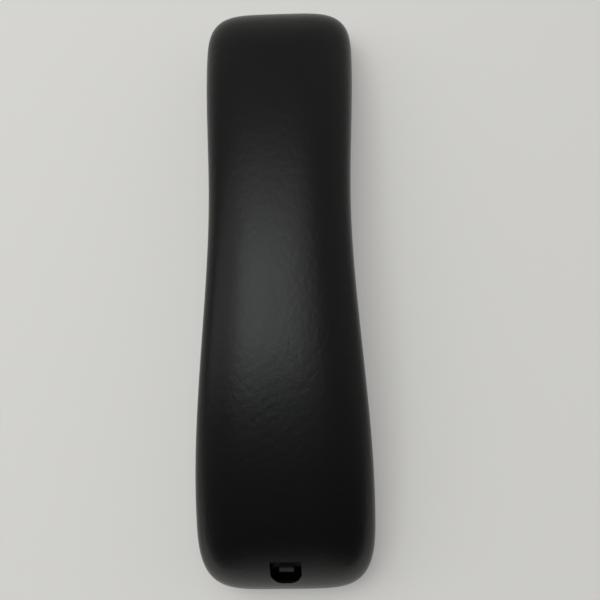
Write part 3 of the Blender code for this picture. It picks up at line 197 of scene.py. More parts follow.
# Room: its colour, its level overhead and behind the handset, and its sides as (strength, power)
ROOM_COLOR = (1.0, 0.99, 0.98)
ROOM_OVERHEAD = 0.03
BACKDROP_LEVEL = 0.62
ROOM_LEFT = (0.3, 4.0)
ROOM_RIGHT = (0.55, 0.8)
ROOM_EAR_SIDE = (0.65, 3.2)
ROOM_MOUTH_SIDE = (0.9, 14.0)
EAR_SIDE_LEAN = 0.25
DARK_CORNER = 0.45

# Soft lights overhead: name, low corner, high corner, height, radiance and colour
LIGHTS = (
    ("lamp", (-0.52, -0.175), (0.015, 0.38), 1.1, 4.6, (0.95, 1.0, 0.985)),
    ("lamp_spill", (-0.60, -0.175), (0.26, 0.55), 1.1, 1.9, (1.0, 1.0, 1.0)),
    ("ceiling", (-3.5, -0.175), (0.12, 0.75), 1.1, 1.4, (1.0, 1.0, 1.0)),
    ("ear_spill", (-1.2, 0.38), (-0.25, 0.75), 1.1, 0.9, (1.0, 1.0, 1.0)),
)


class Value:
    """A socket in a node tree. Sums written with it add the tree's Math nodes."""

    def __init__(self, tree, socket):
        self.tree = tree
        self.socket = socket

    def math(self, operation, *values):
        return self.tree.node("ShaderNodeMath", {"operation": operation}, dict(enumerate(values)))

    def __add__(self, other):
        return self.math("ADD", self, other)

    def __radd__(self, other):
        return self.math("ADD", other, self)

    def __sub__(self, other):
        return self.math("SUBTRACT", self, other)

    def __rsub__(self, other):
        return self.math("SUBTRACT", other, self)

    def __mul__(self, other):
        return self.math("MULTIPLY", self, other)

    def __rmul__(self, other):
        return self.math("MULTIPLY", other, self)

    def __truediv__(self, other):
        return self.math("DIVIDE", self, other)

    def __rtruediv__(self, other):
        return self.math("DIVIDE", other, self)

    def __pow__(self, other):
        return self.math("POWER", self, other)

    def __neg__(self):
        return self.math("MULTIPLY", self, -1.0)

    def __abs__(self):
        return self.math("ABSOLUTE", self)

    def __gt__(self, other):
        return self.math("GREATER_THAN", self, other)

    def __lt__(self, other):
        return self.math("LESS_THAN", self, other)

    def sign(self):
        return self.math("SIGN", self)

    def sine(self):
        return self.math("SINE", self)

    def cosine(self):
        return self.math("COSINE", self)

    def root(self):
        return self.math("SQRT", self)

    def fraction(self):
        return self.math("FRACT", self)

    def limited(self, low=0.0, high=1.0):
        return self.tree.node("ShaderNodeClamp", {}, {"Value": self, "Min": low, "Max": high})

    def parts(self):
        """The three coordinates of a vector."""
        first = self.tree.node("ShaderNodeSeparateXYZ", {}, {0: self})
        sockets = first.socket.node.outputs
        return [Value(self.tree, socket) for socket in sockets]


class Tree:
    """A node tree that is written as expressions."""

    def __init__(self, group):
        self.group = group

    def node(self, kind, settings=None, inputs=None, output=0):
        """Add a node: first its settings, then the values or links of its sockets."""
        node = self.group.nodes.new(kind)
        for name, value in (settings or {}).items():
            setattr(node, name, value)
        for key, value in (inputs or {}).items():
            if isinstance(value, Value):
                self.group.links.new(value.socket, node.inputs[key])
            else:
                node.inputs[key].default_value = value
        return Value(self, node.outputs[output])

    def vector(self, x, y, z):
        return self.node("ShaderNodeCombineXYZ", {}, {0: x, 1: y, 2: z})


class ShapeTree(Tree):
    """A Geometry Nodes tree with named sizes as its inputs, and a material."""

    def __init__(self, name, sizes):
        super().__init__(bpy.data.node_groups.new(name, "GeometryNodeTree"))
        interface = self.group.interface
        for label, value in sizes.items():
            kind = "NodeSocketInt" if isinstance(value, int) else "NodeSocketFloat"
            interface.new_socket(name=label, in_out="INPUT", socket_type=kind)
        interface.new_socket(name="Material", in_out="INPUT", socket_type="NodeSocketMaterial")
        interface.new_socket(name="Geometry", in_out="OUTPUT", socket_type="NodeSocketGeometry")
        self.inputs = self.group.nodes.new("NodeGroupInput")
        self.output = self.group.nodes.new("NodeGroupOutput")

    def size(self, label):
        return Value(self, self.inputs.outputs[label])

    def place(self):
        """The coordinates of each point before it is moved."""
        return self.node("GeometryNodeInputPosition").parts()

    def moved(self, geometry, x, y, z):
        place = self.vector(x, y, z)
        return self.node("GeometryNodeSetPosition", {}, {"Geometry": geometry, "Position": place})

    def merged(self, geometry):
        return self.node("GeometryNodeMergeByDistance", {}, {
            "Geometry": geometry, "Distance": MERGE_DISTANCE})

    def end(self, geometry):
        """Close the tree: real meshes instead of instances, and the material."""
        real = self.node("GeometryNodeRealizeInstances", {}, {0: geometry})
        dressed = self.node("GeometryNodeSetMaterial", {}, {
            "Geometry": real, "Material": self.size("Material")})
        self.group.links.new(dressed.socket, self.output.inputs[0])

    def grow(self, name, sizes, material):
        """Run the tree on an empty object and keep the result as a plain mesh."""
        item = new_object(name, bpy.data.meshes.new(name))
        modifier = item.modifiers.new("shape", "NODES")
        modifier.node_group = self.group
        values = {**sizes, "Material": material}
        for socket in self.group.interface.items_tree:
            if socket.in_out == "INPUT":
                modifier[socket.identifier] = values[socket.name]
        freeze(item)
        return item


def new_object(name, data):
    """Add an object with its mesh, light or camera to the scene."""
    item = bpy.data.objects.new(name, data)
    bpy.context.scene.collection.objects.link(item)
    return item


def mesh_object(name, shape):
    """Add an object whose mesh is the shape that was built."""
    mesh = bpy.data.meshes.new(name)
    shape.to_mesh(mesh)
    shape.free()
    return new_object(name, mesh)


def freeze(item):
    """Replace an object's mesh by what its modifiers make of it, and remove them."""
    evaluated = item.evaluated_get(bpy.context.evaluated_depsgraph_get())
    mesh = bpy.data.meshes.new_from_object(evaluated)
    item.modifiers.clear()
    item.data = mesh


def ramped(row, stops):
    """Follow straight lines through (row, value) stops."""
    value = stops[0][1]
    for (start, low), (finish, high) in zip(stops, stops[1:]):
        if isinstance(low, float) and isinstance(high, float) and low == high:
            continue
        share = ((row - start) / (finish - start)).limited()
        value = share * (high - low) + value
    return value


def smooth_step(start, finish, value):
    """Go from 0 at start to 1 at finish, level at both."""
    share = ((value - start) / (finish - start)).limited()
    return share * share * (3.0 - 2.0 * share)


def even_angle(share, first_power, last_power):
    """A quarter turn, stepped so that points on a squarish curve lie evenly."""
    rise = share ** first_power
    rest = (1.0 - share) ** last_power
    return rise / (rise + rest) * (math.pi / 2)


class Handset:
    """The handset's form, as formulas on the sizes of a tree."""

    def __init__(self, tree):
        size = tree.size
        self.size = size
        half = size("Length") / 2.0
        self.half_length = half
        self.ear_centre = half - size("Ear Reach")
        self.mouth_centre = size("Mouth Reach") - half
        self.waist = half - size("Waist From Ear End")
        self.ear_face = half - size("Ear Face Length")
        self.ear_grip = self.ear_face - size("Ear Slope Length")
        self.mouth_face = size("Mouth Face Length") - half
        self.mouth_grip = self.mouth_face + size("Mouth Slope Length")

    def half_width(self, y):
        waist = self.size("Waist Width")
        ear = (self.size("Ear Width") - waist) * smooth_step(self.waist, self.ear_centre, y)
        mouth = (self.size("Mouth Width") - waist) * smooth_step(self.waist, self.mouth_centre, y)
        return (waist + ear + mouth) / 2.0

    def back_line(self, y):
        share = y / self.half_length
        return self.size("Height") - (self.size("Height") - self.size("Back End Height")) * share * share

    def seam_line(self, y):
        share = y / self.half_length
        middle = self.size("Height") - self.size("Seam Below Back")
        mouth_end = self.size("Seam Mouth End")
        end = mouth_end + (self.size("Seam Ear End") - mouth_end) * (y > 0.0)
        return middle - (middle - end) * share * share

    def grip_share(self, y):
        ear_side = 1.0 - smooth_step(self.ear_grip, self.ear_face, y)
        mouth_side = 1.0 - smooth_step(self.mouth_grip, self.mouth_face, y)
        return ear_side * mouth_side

    def floor_line(self, y):
        return (self.back_line(y) - self.size("Grip Depth")) * self.grip_share(y)

    def floor_height(self, y, inset):
        step = 0.0005
        slope = (self.floor_line(y + step) - self.floor_line(y - step)) / (2 * step)
        return self.floor_line(y) + inset * (1.0 + slope * slope).root()


def shell_tree(name, is_rear, profile):
    """A tree that makes a closed shell from one grid.

    The grid's X runs along the handset and its Y across it. The profile's stops are
    (row, stage, inset, lift, rise), from the outer middle line over the edge and back inside.
    """
    tree = ShapeTree(name, SHAPE)
    form = Handset(tree)
    size = tree.size
    stops = profile(size)
    last_row = stops[-1][0]
    grid = tree.node("GeometryNodeMeshGrid", {}, {
        "Size X": 2.0, "Size Y": 2.0, "Vertices X": ALONG_SEGMENTS + 1, "Vertices Y": 2 * last_row + 1})
    along, across = tree.place()[:2]
    row = abs(across) * float(last_row)
    stage, inset, lift, rise = [ramped(row, [(stop[0], stop[i]) for stop in stops]) for i in range(1, 5)]

    spine_share = (along / SIDE_SHARE).limited(-1.0, 1.0) * 0.5 + 0.5
    spine_y = form.mouth_centre + (form.ear_centre - form.mouth_centre) * spine_share
    past = ((abs(along) - SIDE_SHARE) / (1.0 - SIDE_SHARE)).limited()
    quarter = even_angle(past, size("Along Power") * 0.5, size("Across Power") * 0.5)
    sine = quarter.sine()
    cosine = quarter.cosine().limited()
    is_ear = along > 0.0
    end_reach = size("Mouth Reach") + (size("Ear Reach") - size("Mouth Reach")) * is_ear - inset
    reach_x = across.sign() * (form.half_width(spine_y) - inset) * cosine ** (2.0 / size("Across Power"))
    reach_y = along.sign() * end_reach * sine ** (2.0 / size("Along Power"))

    if is_rear:
        end_power = size("Mouth End Power") + (size("Ear End Power") - size("Mouth End Power")) * is_ear
        power = size("Side Power") + (end_power - size("Side Power")) * sine * sine
        turn = even_angle(stage, power * 0.5, power * 0.5)
        outward = turn.sine() ** (2.0 / power)
        upward = turn.cosine().limited() ** (2.0 / power) * rise
        x = reach_x * outward
        y = spine_y + reach_y * outward
        bottom = form.seam_line(y) + lift
        crown_share = x / form.half_width(y)
        top = form.back_line(y) - size("Crown") * crown_share * crown_share - inset
        z = bottom + (top - bottom) * upward
    else:
        reach = (reach_x * reach_x + reach_y * reach_y).root()
        grip = form.grip_share(spine_y)
        fillet = size("Face Fillet") + (size("Grip Fillet") - size("Face Fillet")) * grip - inset
        flat = 1.0 - fillet / reach
        turn = (stage - 1.0).limited() * (math.pi / 2)
        outward = flat * stage.limited() + (1.0 - flat) * turn.sine()
        x = reach_x * outward
        y = spine_y + reach_y * outward
        top = form.seam_line(y) + lift
        z = top - (top - form.floor_height(y, inset)) * turn.cosine().limited() * rise
    tree.end(tree.merged(tree.moved(grid, x, y, z)))
    return tree


def rounded_edge(first_row, radius, turn):
    """Rows that round a shell's edge, as (row, inset, way from the flat edge)."""
    angles = [math.pi / 2 * step / EDGE_STEPS for step in range(1, EDGE_STEPS + 1)]
    return [(first_row + step, radius * (1.0 - math.cos(angle)), radius * (turn * (1.0 - math.sin(angle))))
            for step, angle in enumerate(angles, start=1)]


def rear_skin_profile(size):
    """The rear cover's outer skin, round at its lower edge."""
    gap = size("Half Seam Gap")
    radius = size("Edge Radius")
    stops = [(0, 0.0, 0.0, gap + radius, 1.0), (REAR_ROWS, 1.0, 0.0, gap + radius, 1.0)]
    stops += [(row, 1.0, inset, gap + way, 1.0) for row, inset, way in rounded_edge(REAR_ROWS, radius, 1.0)]
    row = stops[-1][0] + 1
    stops += [(row, 1.0, size("Skin"), gap, 1.0), (row + INNER_ROWS, 0.0, size("Skin"), gap, 1.0)]
    return stops


def rear_core_profile(size):
    """The solid inside the rear skin, closed flat at the seam."""
    inset = size("Skin Overlap")
    lift = size("Half Seam Gap") + size("Clearance")
    return [(0, 0.0, inset, lift, 1.0), (INNER_ROWS, 1.0, inset, lift, 1.0),
            (INNER_ROWS + 1, LID_STAGE, inset, lift, 0.0),
            (INNER_ROWS + LID_ROWS + 2, 0.0, inset, lift, 0.0)]


def front_skin_profile(size):
    """The front cover's outer skin, round at its upper edge."""
    gap = size("Clearance") - size("Half Seam Gap")
    radius = size("Edge Radius")
    turn_end = FLAT_ROWS + TURN_ROWS
    start = gap - radius
    stops = [(0, 0.0, 0.0, start, 1.0), (FLAT_ROWS, 1.0, 0.0, start, 1.0), (turn_end, 2.0, 0.0, start, 1.0)]
    stops += [(row, 2.0, inset, gap + way, 1.0) for row, inset, way in rounded_edge(turn_end, radius, -1.0)]
    row = stops[-1][0] + 1
    skin = size("Skin")
    stops += [(row, 2.0, skin, gap, 1.0), (row + INNER_ROWS, 1.0, skin, gap, 1.0),
              (row + INNER_ROWS + LID_ROWS, 0.0, skin, gap, 1.0)]
    return stops


def front_core_profile(size):
    """The solid inside the front skin, which reaches up past all that stands on the cover."""
    inset = size("Skin Overlap")
    gap = -size("Half Seam Gap")
    top = size("Front Reach")
    edge = LID_ROWS + INNER_ROWS
    return [(0, 0.0, inset, gap, 1.0), (LID_ROWS, 1.0, inset, gap, 1.0), (edge, 2.0, inset, gap, 1.0),
            (edge + 1, 2.0, inset, top, 1.0), (edge + 2, LID_STAGE, inset, top, 0.0),
            (edge + LID_ROWS + 2, 0.0, inset, top, 0.0)]


def tidy_mesh(item):
    """Merge doubles, drop faces without area and turn all faces outward."""
    shape = bmesh.new()
    shape.from_mesh(item.data)
    bmesh.ops.remove_doubles(shape, verts=shape.verts, dist=MERGE_DISTANCE)
    bmesh.ops.dissolve_degenerate(shape, edges=shape.edges, dist=MERGE_DISTANCE)
    bmesh.ops.recalc_face_normals(shape, faces=shape.faces)
    shape.to_mesh(item.data)
    shape.free()
    return item


def combine(target, helper, operation):
    """Join, cut or trim one object by another, which is then removed."""
    modifier = target.modifiers.new("combine", "BOOLEAN")
    modifier.operation = operation
    modifier.object = helper
    freeze(target)
    bpy.data.objects.remove(helper)
    return target


def merged_copy(node, name):
    """A copy of a CAD node whose loose triangles are merged, without the normals it was stored with."""
    item = new_object(name, frame["nodes"][node].data.copy())
    item.data.materials.clear()
    stored_normals = item.data.attributes.get("custom_normal")
    if stored_normals:
        item.data.attributes.remove(stored_normals)
    return tidy_mesh(item)


def turned(name, profile, steps, centre):
    """Spin (radius, height) points round the vertical axis through the centre."""
    shape = bmesh.new()
    axis = Vector((centre[0], centre[1], 0.0))
    points = [shape.verts.new(axis + Vector((radius, 0.0, level))) for radius, level in profile]
    edges = [shape.edges.new(pair) for pair in zip(points, points[1:])]
    if profile[0][0] > 0.0:
        edges.append(shape.edges.new((points[-1], points[0])))
    bmesh.ops.spin(shape, geom=points + edges, cent=axis, axis=(0.0, 0.0, 1.0),
                   angle=2 * math.pi, steps=steps, use_merge=True)
    return tidy_mesh(mesh_object(name, shape))


def upright_prism(name, outline, bottom, top):
    """An outline in X and Y, extruded between two heights."""
    shape = bmesh.new()
    base = shape.faces.new([shape.verts.new((x, y, bottom)) for x, y in outline])
    grown = bmesh.ops.extrude_face_region(shape, geom=[base])["geom"]
    moved = [part for part in grown if isinstance(part, bmesh.types.BMVert)]
    bmesh.ops.translate(shape, verts=moved, vec=(0.0, 0.0, top - bottom))
    return tidy_mesh(mesh_object(name, shape))


def finish_piece(piece, node, material, slot, sharp_angle=SHARP_ANGLE):
    """Shade a piece smooth, put it on the handset and let it stand for its CAD node."""
    piece.data.materials.clear()
    piece.data.materials.append(material)
    piece.data.shade_smooth()
    piece.data.set_sharp_from_angle(angle=math.radians(sharp_angle))
    weighted = piece.modifiers.new("normals", "WEIGHTED_NORMAL")
    weighted.keep_sharp = True
    freeze(piece)
    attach(piece, "root")
    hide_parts(node)


def middle(node):
    """The middle of a CAD node, seen from above."""
    low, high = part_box(node)
    return ((low.x + high.x) / 2, (low.y + high.y) / 2)


def jack_face():
    """Where the jack's front face is."""
    return cad_low.y + JACK_FROM_END


def cavity_bottom():
    """Height of the floor that the plug slides over, in the jack."""
    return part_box("jack_housing")[1].z - JACK_ABOVE_CAVITY


def port_outline(grow):
    """The jack hole's outline seen from above, rounded towards the handset's end."""
    half = PORT_WIDTH / 2 + grow
    corner = PORT_CORNER + grow
    near = cad_low.y + PORT_FROM_END - grow
    far = jack_face() - PORT_SPARE
    outline = [(half, far), (-half, far)]
    for side, start in ((-1, math.pi), (1, 1.5 * math.pi)):
        for step in range(PORT_CORNER_STEPS + 1):
            angle = start + math.pi / 2 * step / PORT_CORNER_STEPS
            outline.append((side * (half - corner) + corner * math.cos(angle),
                            near + corner + corner * math.sin(angle)))
    return outline


def shell_over_cad(node, is_rear, skin_profile, core_profile, material):
    """A fine outer skin joined to the inside of a CAD cover."""
    skin = tidy_mesh(shell_tree(node + " skin", is_rear, skin_profile).grow(node + "_shell", SHAPE, material))
    core = tidy_mesh(shell_tree(node + " core", is_rear, core_profile).grow(node + "_core", SHAPE, material))
    inside = combine(merged_copy(node, node + "_inside"), core, "INTERSECT")
    return combine(skin, inside, "UNION")


def make_rear_cover(material):
    """The rear cover: a fine outer skin over the CAD cover's inside, and the jack's hole."""
    skin = shell_over_cad("rear_cover", True, rear_skin_profile, rear_core_profile, material)
    cavity = cavity_bottom()
    top = cavity + PORT_TOP_ABOVE_CAVITY + CUT_SPARE
    hole = upright_prism("port", port_outline(CUT_SPARE), cavity - PORT_DROP, top)
    combine(skin, hole, "DIFFERENCE")
    half = PORT_WIDTH / 2 + CUT_SPARE
    before = cad_low.y - PORT_WIDTH
    far = jack_face() - PORT_SPARE
    way = [(-half, before), (half, before), (half, far), (-half, far)]
    plug_way = upright_prism("plug_way", way, cavity + PORT_STRAIGHT_ABOVE_CAVITY - CUT_SPARE, top)
    combine(skin, plug_way, "DIFFERENCE")
    finish_piece(tidy_mesh(skin), "rear_cover", material, "cover_plastic")


def dish_cutter(centre, radius, depth):
    """A cutter for a shallow round dish in the face below."""
    radius += CUT_SPARE
    depth += CUT_SPARE
    sphere = (radius ** 2 + depth ** 2) / (2 * depth)
    profile = [(0.0, -depth), (radius, -depth), (radius, 0.0)]
    for row in range(1, DISH_ROWS + 1):
        r = radius * (1 - row / DISH_ROWS)
        profile.append((r, math.sqrt(sphere ** 2 - r ** 2) - sphere + depth))
    return turned("dish", profile, DISH_STEPS, centre)


PERFORATION = {
    "Count": 6,
    "Ring Radius": 0.004,
    "Hole Radius": 0.0009,
    "Chamfer": HOLE_CHAMFER,
    "Face Height": 0.0,
    "Hole Depth": 2 * WALL,
}


def perforation_tree():
    """A tree that sets one ring of flared pins, which cut the sound holes."""
    tree = ShapeTree("sound hole ring", PERFORATION)
    size = tree.size
    pin = tree.node("GeometryNodeMeshCylinder", {"fill_type": "NGON"}, {
        "Vertices": HOLE_STEPS, "Side Segments": PIN_ROWS, "Radius": 1.0, "Depth": 2.0})
    x, y, z = tree.place()
    row = (z + 1.0) * (PIN_ROWS / 2)
    flare = size("Hole Radius") + size("Chamfer")
    radius = ramped(row, [(0, flare), (1, flare), (2, size("Hole Radius")), (PIN_ROWS, size("Hole Radius"))])
    face = size("Face Height")
    height = ramped(row, [(0, face - size("Chamfer")), (1, face), (2, face + size("Chamfer")),
                          (PIN_ROWS, size("Hole Depth"))])
    shaped = tree.moved(pin, x * radius, y * radius, height)
    ring = tree.node("GeometryNodeMeshCircle", {}, {"Vertices": size("Count"), "Radius": size("Ring Radius")})
    single = tree.node("GeometryNodeMeshLine", {}, {"Count": 1})
    is_single = size("Count") < 2.0
    places = tree.node("GeometryNodeSwitch", {"input_type": "GEOMETRY"}, {
        "Switch": is_single, "False": ring, "True": single})
    tree.end(tree.node("GeometryNodeInstanceOnPoints", {}, {"Points": places, "Instance": shaped}))
    return tree


def sound_holes(tree, rings, hole, dish, centre, material):
    """All the pins of one face, in one object, each started from the dish's floor."""
    radius, depth = dish
    shape = bmesh.new()
    for count, ring_radius in rings:
        face = depth * (1 - (ring_radius / radius) ** 2)
        sizes = {**PERFORATION, "Count": count, "Ring Radius": ring_radius,
                 "Hole Radius": hole / 2 + CUT_SPARE, "Face Height": face}
        ring = tree.grow("ring", sizes, material)
        shape.from_mesh(ring.data)
        bpy.data.objects.remove(ring)
    bmesh.ops.translate(shape, verts=shape.verts, vec=(centre[0], centre[1], 0.0))
    return tidy_mesh(mesh_object("sound_holes", shape))


def make_front_cover(material):
    """The front cover: a fine outer skin over the CAD cover's inside, with its dishes and holes."""
    skin = shell_over_cad("front_cover", False, front_skin_profile, front_core_profile, material)
    pins = perforation_tree()
    for node, rings, hole, dish in (("ear_cloth", EAR_RINGS, EAR_HOLE, EAR_DISH),
                                    ("microphone_cloth", MOUTH_RINGS, MOUTH_HOLE, MOUTH_DISH)):
        centre = middle(node)
        combine(skin, dish_cutter(centre, *dish), "DIFFERENCE")
        combine(skin, sound_holes(pins, rings, hole, dish, centre, material), "DIFFERENCE")
    for node in ("cover_screw_ear", "cover_screw_mouth"):
        radius = COVER_SCREW[0] + COUNTERBORE_SPARE + CUT_SPARE
        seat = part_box(node)[0].z + COVER_SCREW[1]
        profile = [(0.0, 0.0), (radius, 0.0), (radius, seat), (0.0, seat)]
        combine(skin, turned("counterbore", profile, DISH_STEPS, middle(node)), "DIFFERENCE")
    finish_piece(tidy_mesh(skin), "front_cover", material, "cover_plastic")


SCREW_SIZES = ("Head Radius", "Head Height", "Shank Radius", "Shank Length", "Pitch", "Thread Depth",
               "Recess Arm", "Recess Width", "Recess Floor")


def screw_tree():
    """A tree that makes a pan-head screw with a cross recess and a real thread, head down."""
    tree = ShapeTree("pan head screw", dict.fromkeys(SCREW_SIZES, 0.0))
    size = tree.size
    head_end = HEAD_ROWS
    thread_start = head_end + 1
    thread_end = thread_start + THREAD_ROWS
    last = thread_end + 2
    grid = tree.node("GeometryNodeMeshGrid", {}, {
        "Size X": 2.0, "Size Y": 2.0, "Vertices X": SCREW_STEPS + 1, "Vertices Y": last + 1})
    x, y = tree.place()[:2]
    angle = x * math.pi
    row = (y + 1.0) * (last / 2)
    head = ramped(row, [(0, 0.0), (head_end, 1.0)])
    turn = even_angle(head, HEAD_POWER / 2, HEAD_POWER / 2)
    head_radius = turn.sine() ** (2 / HEAD_POWER) * size("Head Radius")
    head_rise = turn.cosine().limited() ** (2 / HEAD_POWER) * size("Head Height")
    shank = size("Shank Radius")
    length = size("Shank Length")
    narrow = size("Head Radius") - shank
    tip = narrow + shank * TIP_TAPER
    radius = head_radius - ramped(row, [(head_end, 0.0), (thread_start, narrow), (thread_end, narrow),
                                        (thread_end + 1, tip), (last, size("Head Radius"))])
    height = ramped(row, [(thread_start, 0.0), (thread_end, length - shank), (thread_end + 1, length)])
    turns = height / size("Pitch") - angle / (2 * math.pi)
    wave = 0.5 - 0.5 * (turns * (2 * math.pi)).cosine()
    share = ramped(row, [(thread_start, 0.0), (thread_start + FADE_ROWS, 1.0), (thread_end - 1, 1.0),
                         (thread_end, 0.0)])
    radius = radius - wave * share * size("Thread Depth")
    body = tree.merged(tree.moved(grid, radius * angle.cosine(), radius * angle.sine(), height - head_rise))
    arm, width, floor = size("Recess Arm") * 2.0, size("Recess Width"), size("Recess Floor")
    depth = size("Head Height") * 2.0 - floor * 2.0
    for wide, narrow_side in ((arm, width), (width, arm)):
        bar = tree.node("GeometryNodeMeshCube", {}, {"Size": tree.vector(wide, narrow_side, depth)})
        low = tree.node("GeometryNodeTransform", {}, {
            "Geometry": bar, "Translation": tree.vector(0.0, 0.0, -size("Head Height"))})
        body = tree.node("GeometryNodeMeshBoolean", {"operation": "DIFFERENCE"}, {
            "Mesh 1": body, "Mesh 2": low})
    tree.end(body)
    return tree


def make_screws(material):
    """All the screws, each in its CAD node's place."""
    tree = screw_tree()
    rows = [("cover_screw_ear", COVER_SCREW, True), ("cover_screw_mouth", COVER_SCREW, True),
            ("ballast_screw_ear", BALLAST_SCREW, True), ("ballast_screw_mouth", BALLAST_SCREW, True),
            ("retainer_screw_1", SMALL_SCREW, False), ("retainer_screw_2", SMALL_SCREW, False),
            ("board_screw", SMALL_SCREW, False)]
    arm, width, floor = RECESS_SHARES
    for node, (head, height, shank, length, pitch), points_up in rows:
        values = (head, height, shank, length, pitch, shank * THREAD_SHARE,
                  head * arm, head * width, height * floor)
        item = tree.grow(node + "_threaded", dict(zip(SCREW_SIZES, values)), material)
        low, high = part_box(node)
        x, y = middle(node)
        if points_up:
            place = Matrix.Translation((x, y, low.z + height))
        else:
            place = Matrix.Translation((x, y, high.z - height)) @ Matrix.Rotation(math.pi, 4, "X")
        item.data.transform(place)
        finish_piece(tidy_mesh(item), node, material, "plain_steel")


def respun(node, name):
    """A turned CAD piece, spun again from its own section with more steps."""
    copy = merged_copy(node, name)
    x, y = middle(node)
    shape = bmesh.new()
    shape.from_mesh(copy.data)
    on_plane = [v for v in shape.verts if abs(v.co.y - y) < MERGE_DISTANCE and v.co.x > x - MERGE_DISTANCE]
    chosen = set(on_plane)
    edges = [e for e in shape.edges if e.verts[0] in chosen and e.verts[1] in chosen
             and (e.verts[0].co.x - x > MERGE_DISTANCE or e.verts[1].co.x - x > MERGE_DISTANCE)]
    section = bmesh.new()
    twins = {v: section.verts.new(v.co) for v in on_plane}
    for edge in edges:
        faces = edge.link_faces
        is_flat = len(faces) == 2 and faces[0].normal.angle(faces[1].normal) < SAME_PLANE_ANGLE
        if is_flat and abs(faces[0].normal.y) > MOSTLY_ALONG:
            continue
        section.edges.new((twins[edge.verts[0]], twins[edge.verts[1]]))
    bmesh.ops.spin(section, geom=section.verts[:] + section.edges[:], cent=(x, y, 0.0),
                   axis=(0.0, 0.0, 1.0), angle=2 * math.pi, steps=TURNED_STEPS, use_merge=True)
    section.to_mesh(copy.data)
    section.free()
    shape.free()
    return tidy_mesh(copy)


def softened(item, width):
    """Give a copy of a CAD piece small round edges."""
    shape = bmesh.new()
    shape.from_mesh(item.data)
    bmesh.ops.dissolve_limit(shape, angle_limit=math.radians(FLAT_EDGE_ANGLE), verts=shape.verts,
                             edges=shape.edges)
    shape.to_mesh(item.data)
    shape.free()
    bevel = item.modifiers.new("edges", "BEVEL")
    bevel.width = width
    bevel.segments = BEVEL_SEGMENTS
    bevel.limit_method = "ANGLE"
    bevel.angle_limit = math.radians(BEVEL_ANGLE)
    freeze(item)
    return tidy_mesh(item)


class Finish(Tree):
    """A material, written as expressions on the piece's Object coordinates."""

    def __init__(self, slot, roughness, metallic=0.0, color=None, **constants):
        self.material = bpy.data.materials.new(slot)
        self.material.use_nodes = True
        super().__init__(self.material.node_tree)
        self.surface = self.group.nodes["Principled BSDF"]
        self.color = color or RECORD_COLORS[slot]
        self.feed("Base Color", (*self.color, 1.0))
        self.feed("Roughness", roughness)
        self.feed("Metallic", metallic)
        for label, value in constants.items():
            self.feed(label.replace("_", " "), value)
        self.coordinates = self.node("ShaderNodeTexCoord", output="Object")

    def feed(self, label, value):
        """Set a socket of the shader, or link it."""
        socket = self.surface.inputs[label]
        if isinstance(value, Value):
            self.group.links.new(value.socket, socket)
        else:
            socket.default_value = value

    def mapped(self, centre=(0.0, 0.0, 0.0), scale=(1.0, 1.0, 1.0)):
        """Object coordinates centred on a point and stretched."""
        location = [-place * stretch for place, stretch in zip(centre, scale)]
        return self.node("ShaderNodeMapping", {}, {
            "Vector": self.coordinates, "Location": location, "Scale": scale})

    def noise(self, size, detail=2.0, place=None):
        """A cloudy value round 0.5, in patches of a size in metres."""
        return self.node("ShaderNodeTexNoise", {}, {
            "Vector": place or self.coordinates, "Scale": 1.0 / size, "Detail": detail})

    def cells(self, size):
        """The distance to the nearest of many points, a size in metres apart."""
        return self.node("ShaderNodeTexVoronoi", {}, {
            "Vector": self.coordinates, "Scale": 1.0 / size}, output="Distance")

    def shade(self, share, low, high):
        """Go from one colour to another."""
        return self.node("ShaderNodeMix", {"data_type": "RGBA"}, {
            0: share, 6: (*low, 1.0) if isinstance(low, tuple) else low,
            7: (*high, 1.0) if isinstance(high, tuple) else high}, output=2)

    def done(self, color, roughness, height, depth, strength=1.0):
        """Link the colour, the roughness and a height from 0 to 1, times a depth in metres."""
        self.feed("Base Color", color)
        self.feed("Roughness", roughness)
        self.feed("Normal", self.node("ShaderNodeBump", {}, {
            "Height": height, "Distance": depth, "Strength": strength}))
        return self.material

    def tinted(self, share, dark, light):
        """Go from a darker tint of the base colour to a lighter one."""
        low, high = (tuple(channel * amount for channel in self.color) for amount in (dark, light))
        return self.shade(share, low, high)


RECORD_COLORS = {entry["slot"]: tuple(entry["base_color"]) for entry in frame["record"]["materials"]}


def cover_plastic():
    """Black plastic from a spark-eroded mould: a fine even grain, faintly polished by hands."""
    finish = Finish("cover_plastic", COVER_ROUGHNESS, color=COVER_COLOR, Specular_IOR_Level=COVER_GLOSS)
    grain = finish.noise(0.00028, 3.0)
    pits = finish.cells(0.00045)
    pebbles = finish.noise(0.0021, 1.5, finish.mapped(scale=(1.15, 0.8, 1.0)))
    handled = finish.noise(0.045, 2.0)
    mottle = finish.noise(0.004, 3.0)
    return finish.done(
        finish.tinted(mottle, 0.88, 1.14),
        COVER_ROUGHNESS + (handled - 0.5) * 0.10 + (grain - 0.5) * 0.10,
        grain * 0.15 + pits * 0.1 + pebbles * 0.75, 0.00012, 0.75)


def jack_plastic():
    """Smoother black plastic with faint flow marks, and a painted highlight at the guide's tip, where it
    catches the light, broken up by noise.
    """
    finish = Finish("jack_plastic", 0.3, color=JACK_COLOR, Specular_IOR_Level=JACK_GLOSS)
    flow = finish.noise(0.003, 2.0, finish.mapped(scale=(1.0, 0.3, 1.0)))
    grain = finish.noise(0.0002, 2.0)
    y = finish.coordinates.parts()[1]
    highlight_breakup = finish.noise(0.0008, 2.0, finish.mapped(scale=(1.6, 0.4, 1.0)))
    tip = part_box("jack_housing")[0].y
    # Painted highlight: the guide's tip is paler towards its end, where it catches the light, broken up by
    # noise
    tip_highlight = ((tip + TIP_HIGHLIGHT_LENGTH - y) / TIP_HIGHLIGHT_FADE).limited() * (0.55 + highlight_breakup * 0.9)
    plain = finish.tinted(flow, 0.85, 1.2)
    return finish.done(
        finish.shade(tip_highlight, plain, TIP_HIGHLIGHT_COLOR),
        0.40 + flow * 0.12,
        grain, 0.000008, 0.6)


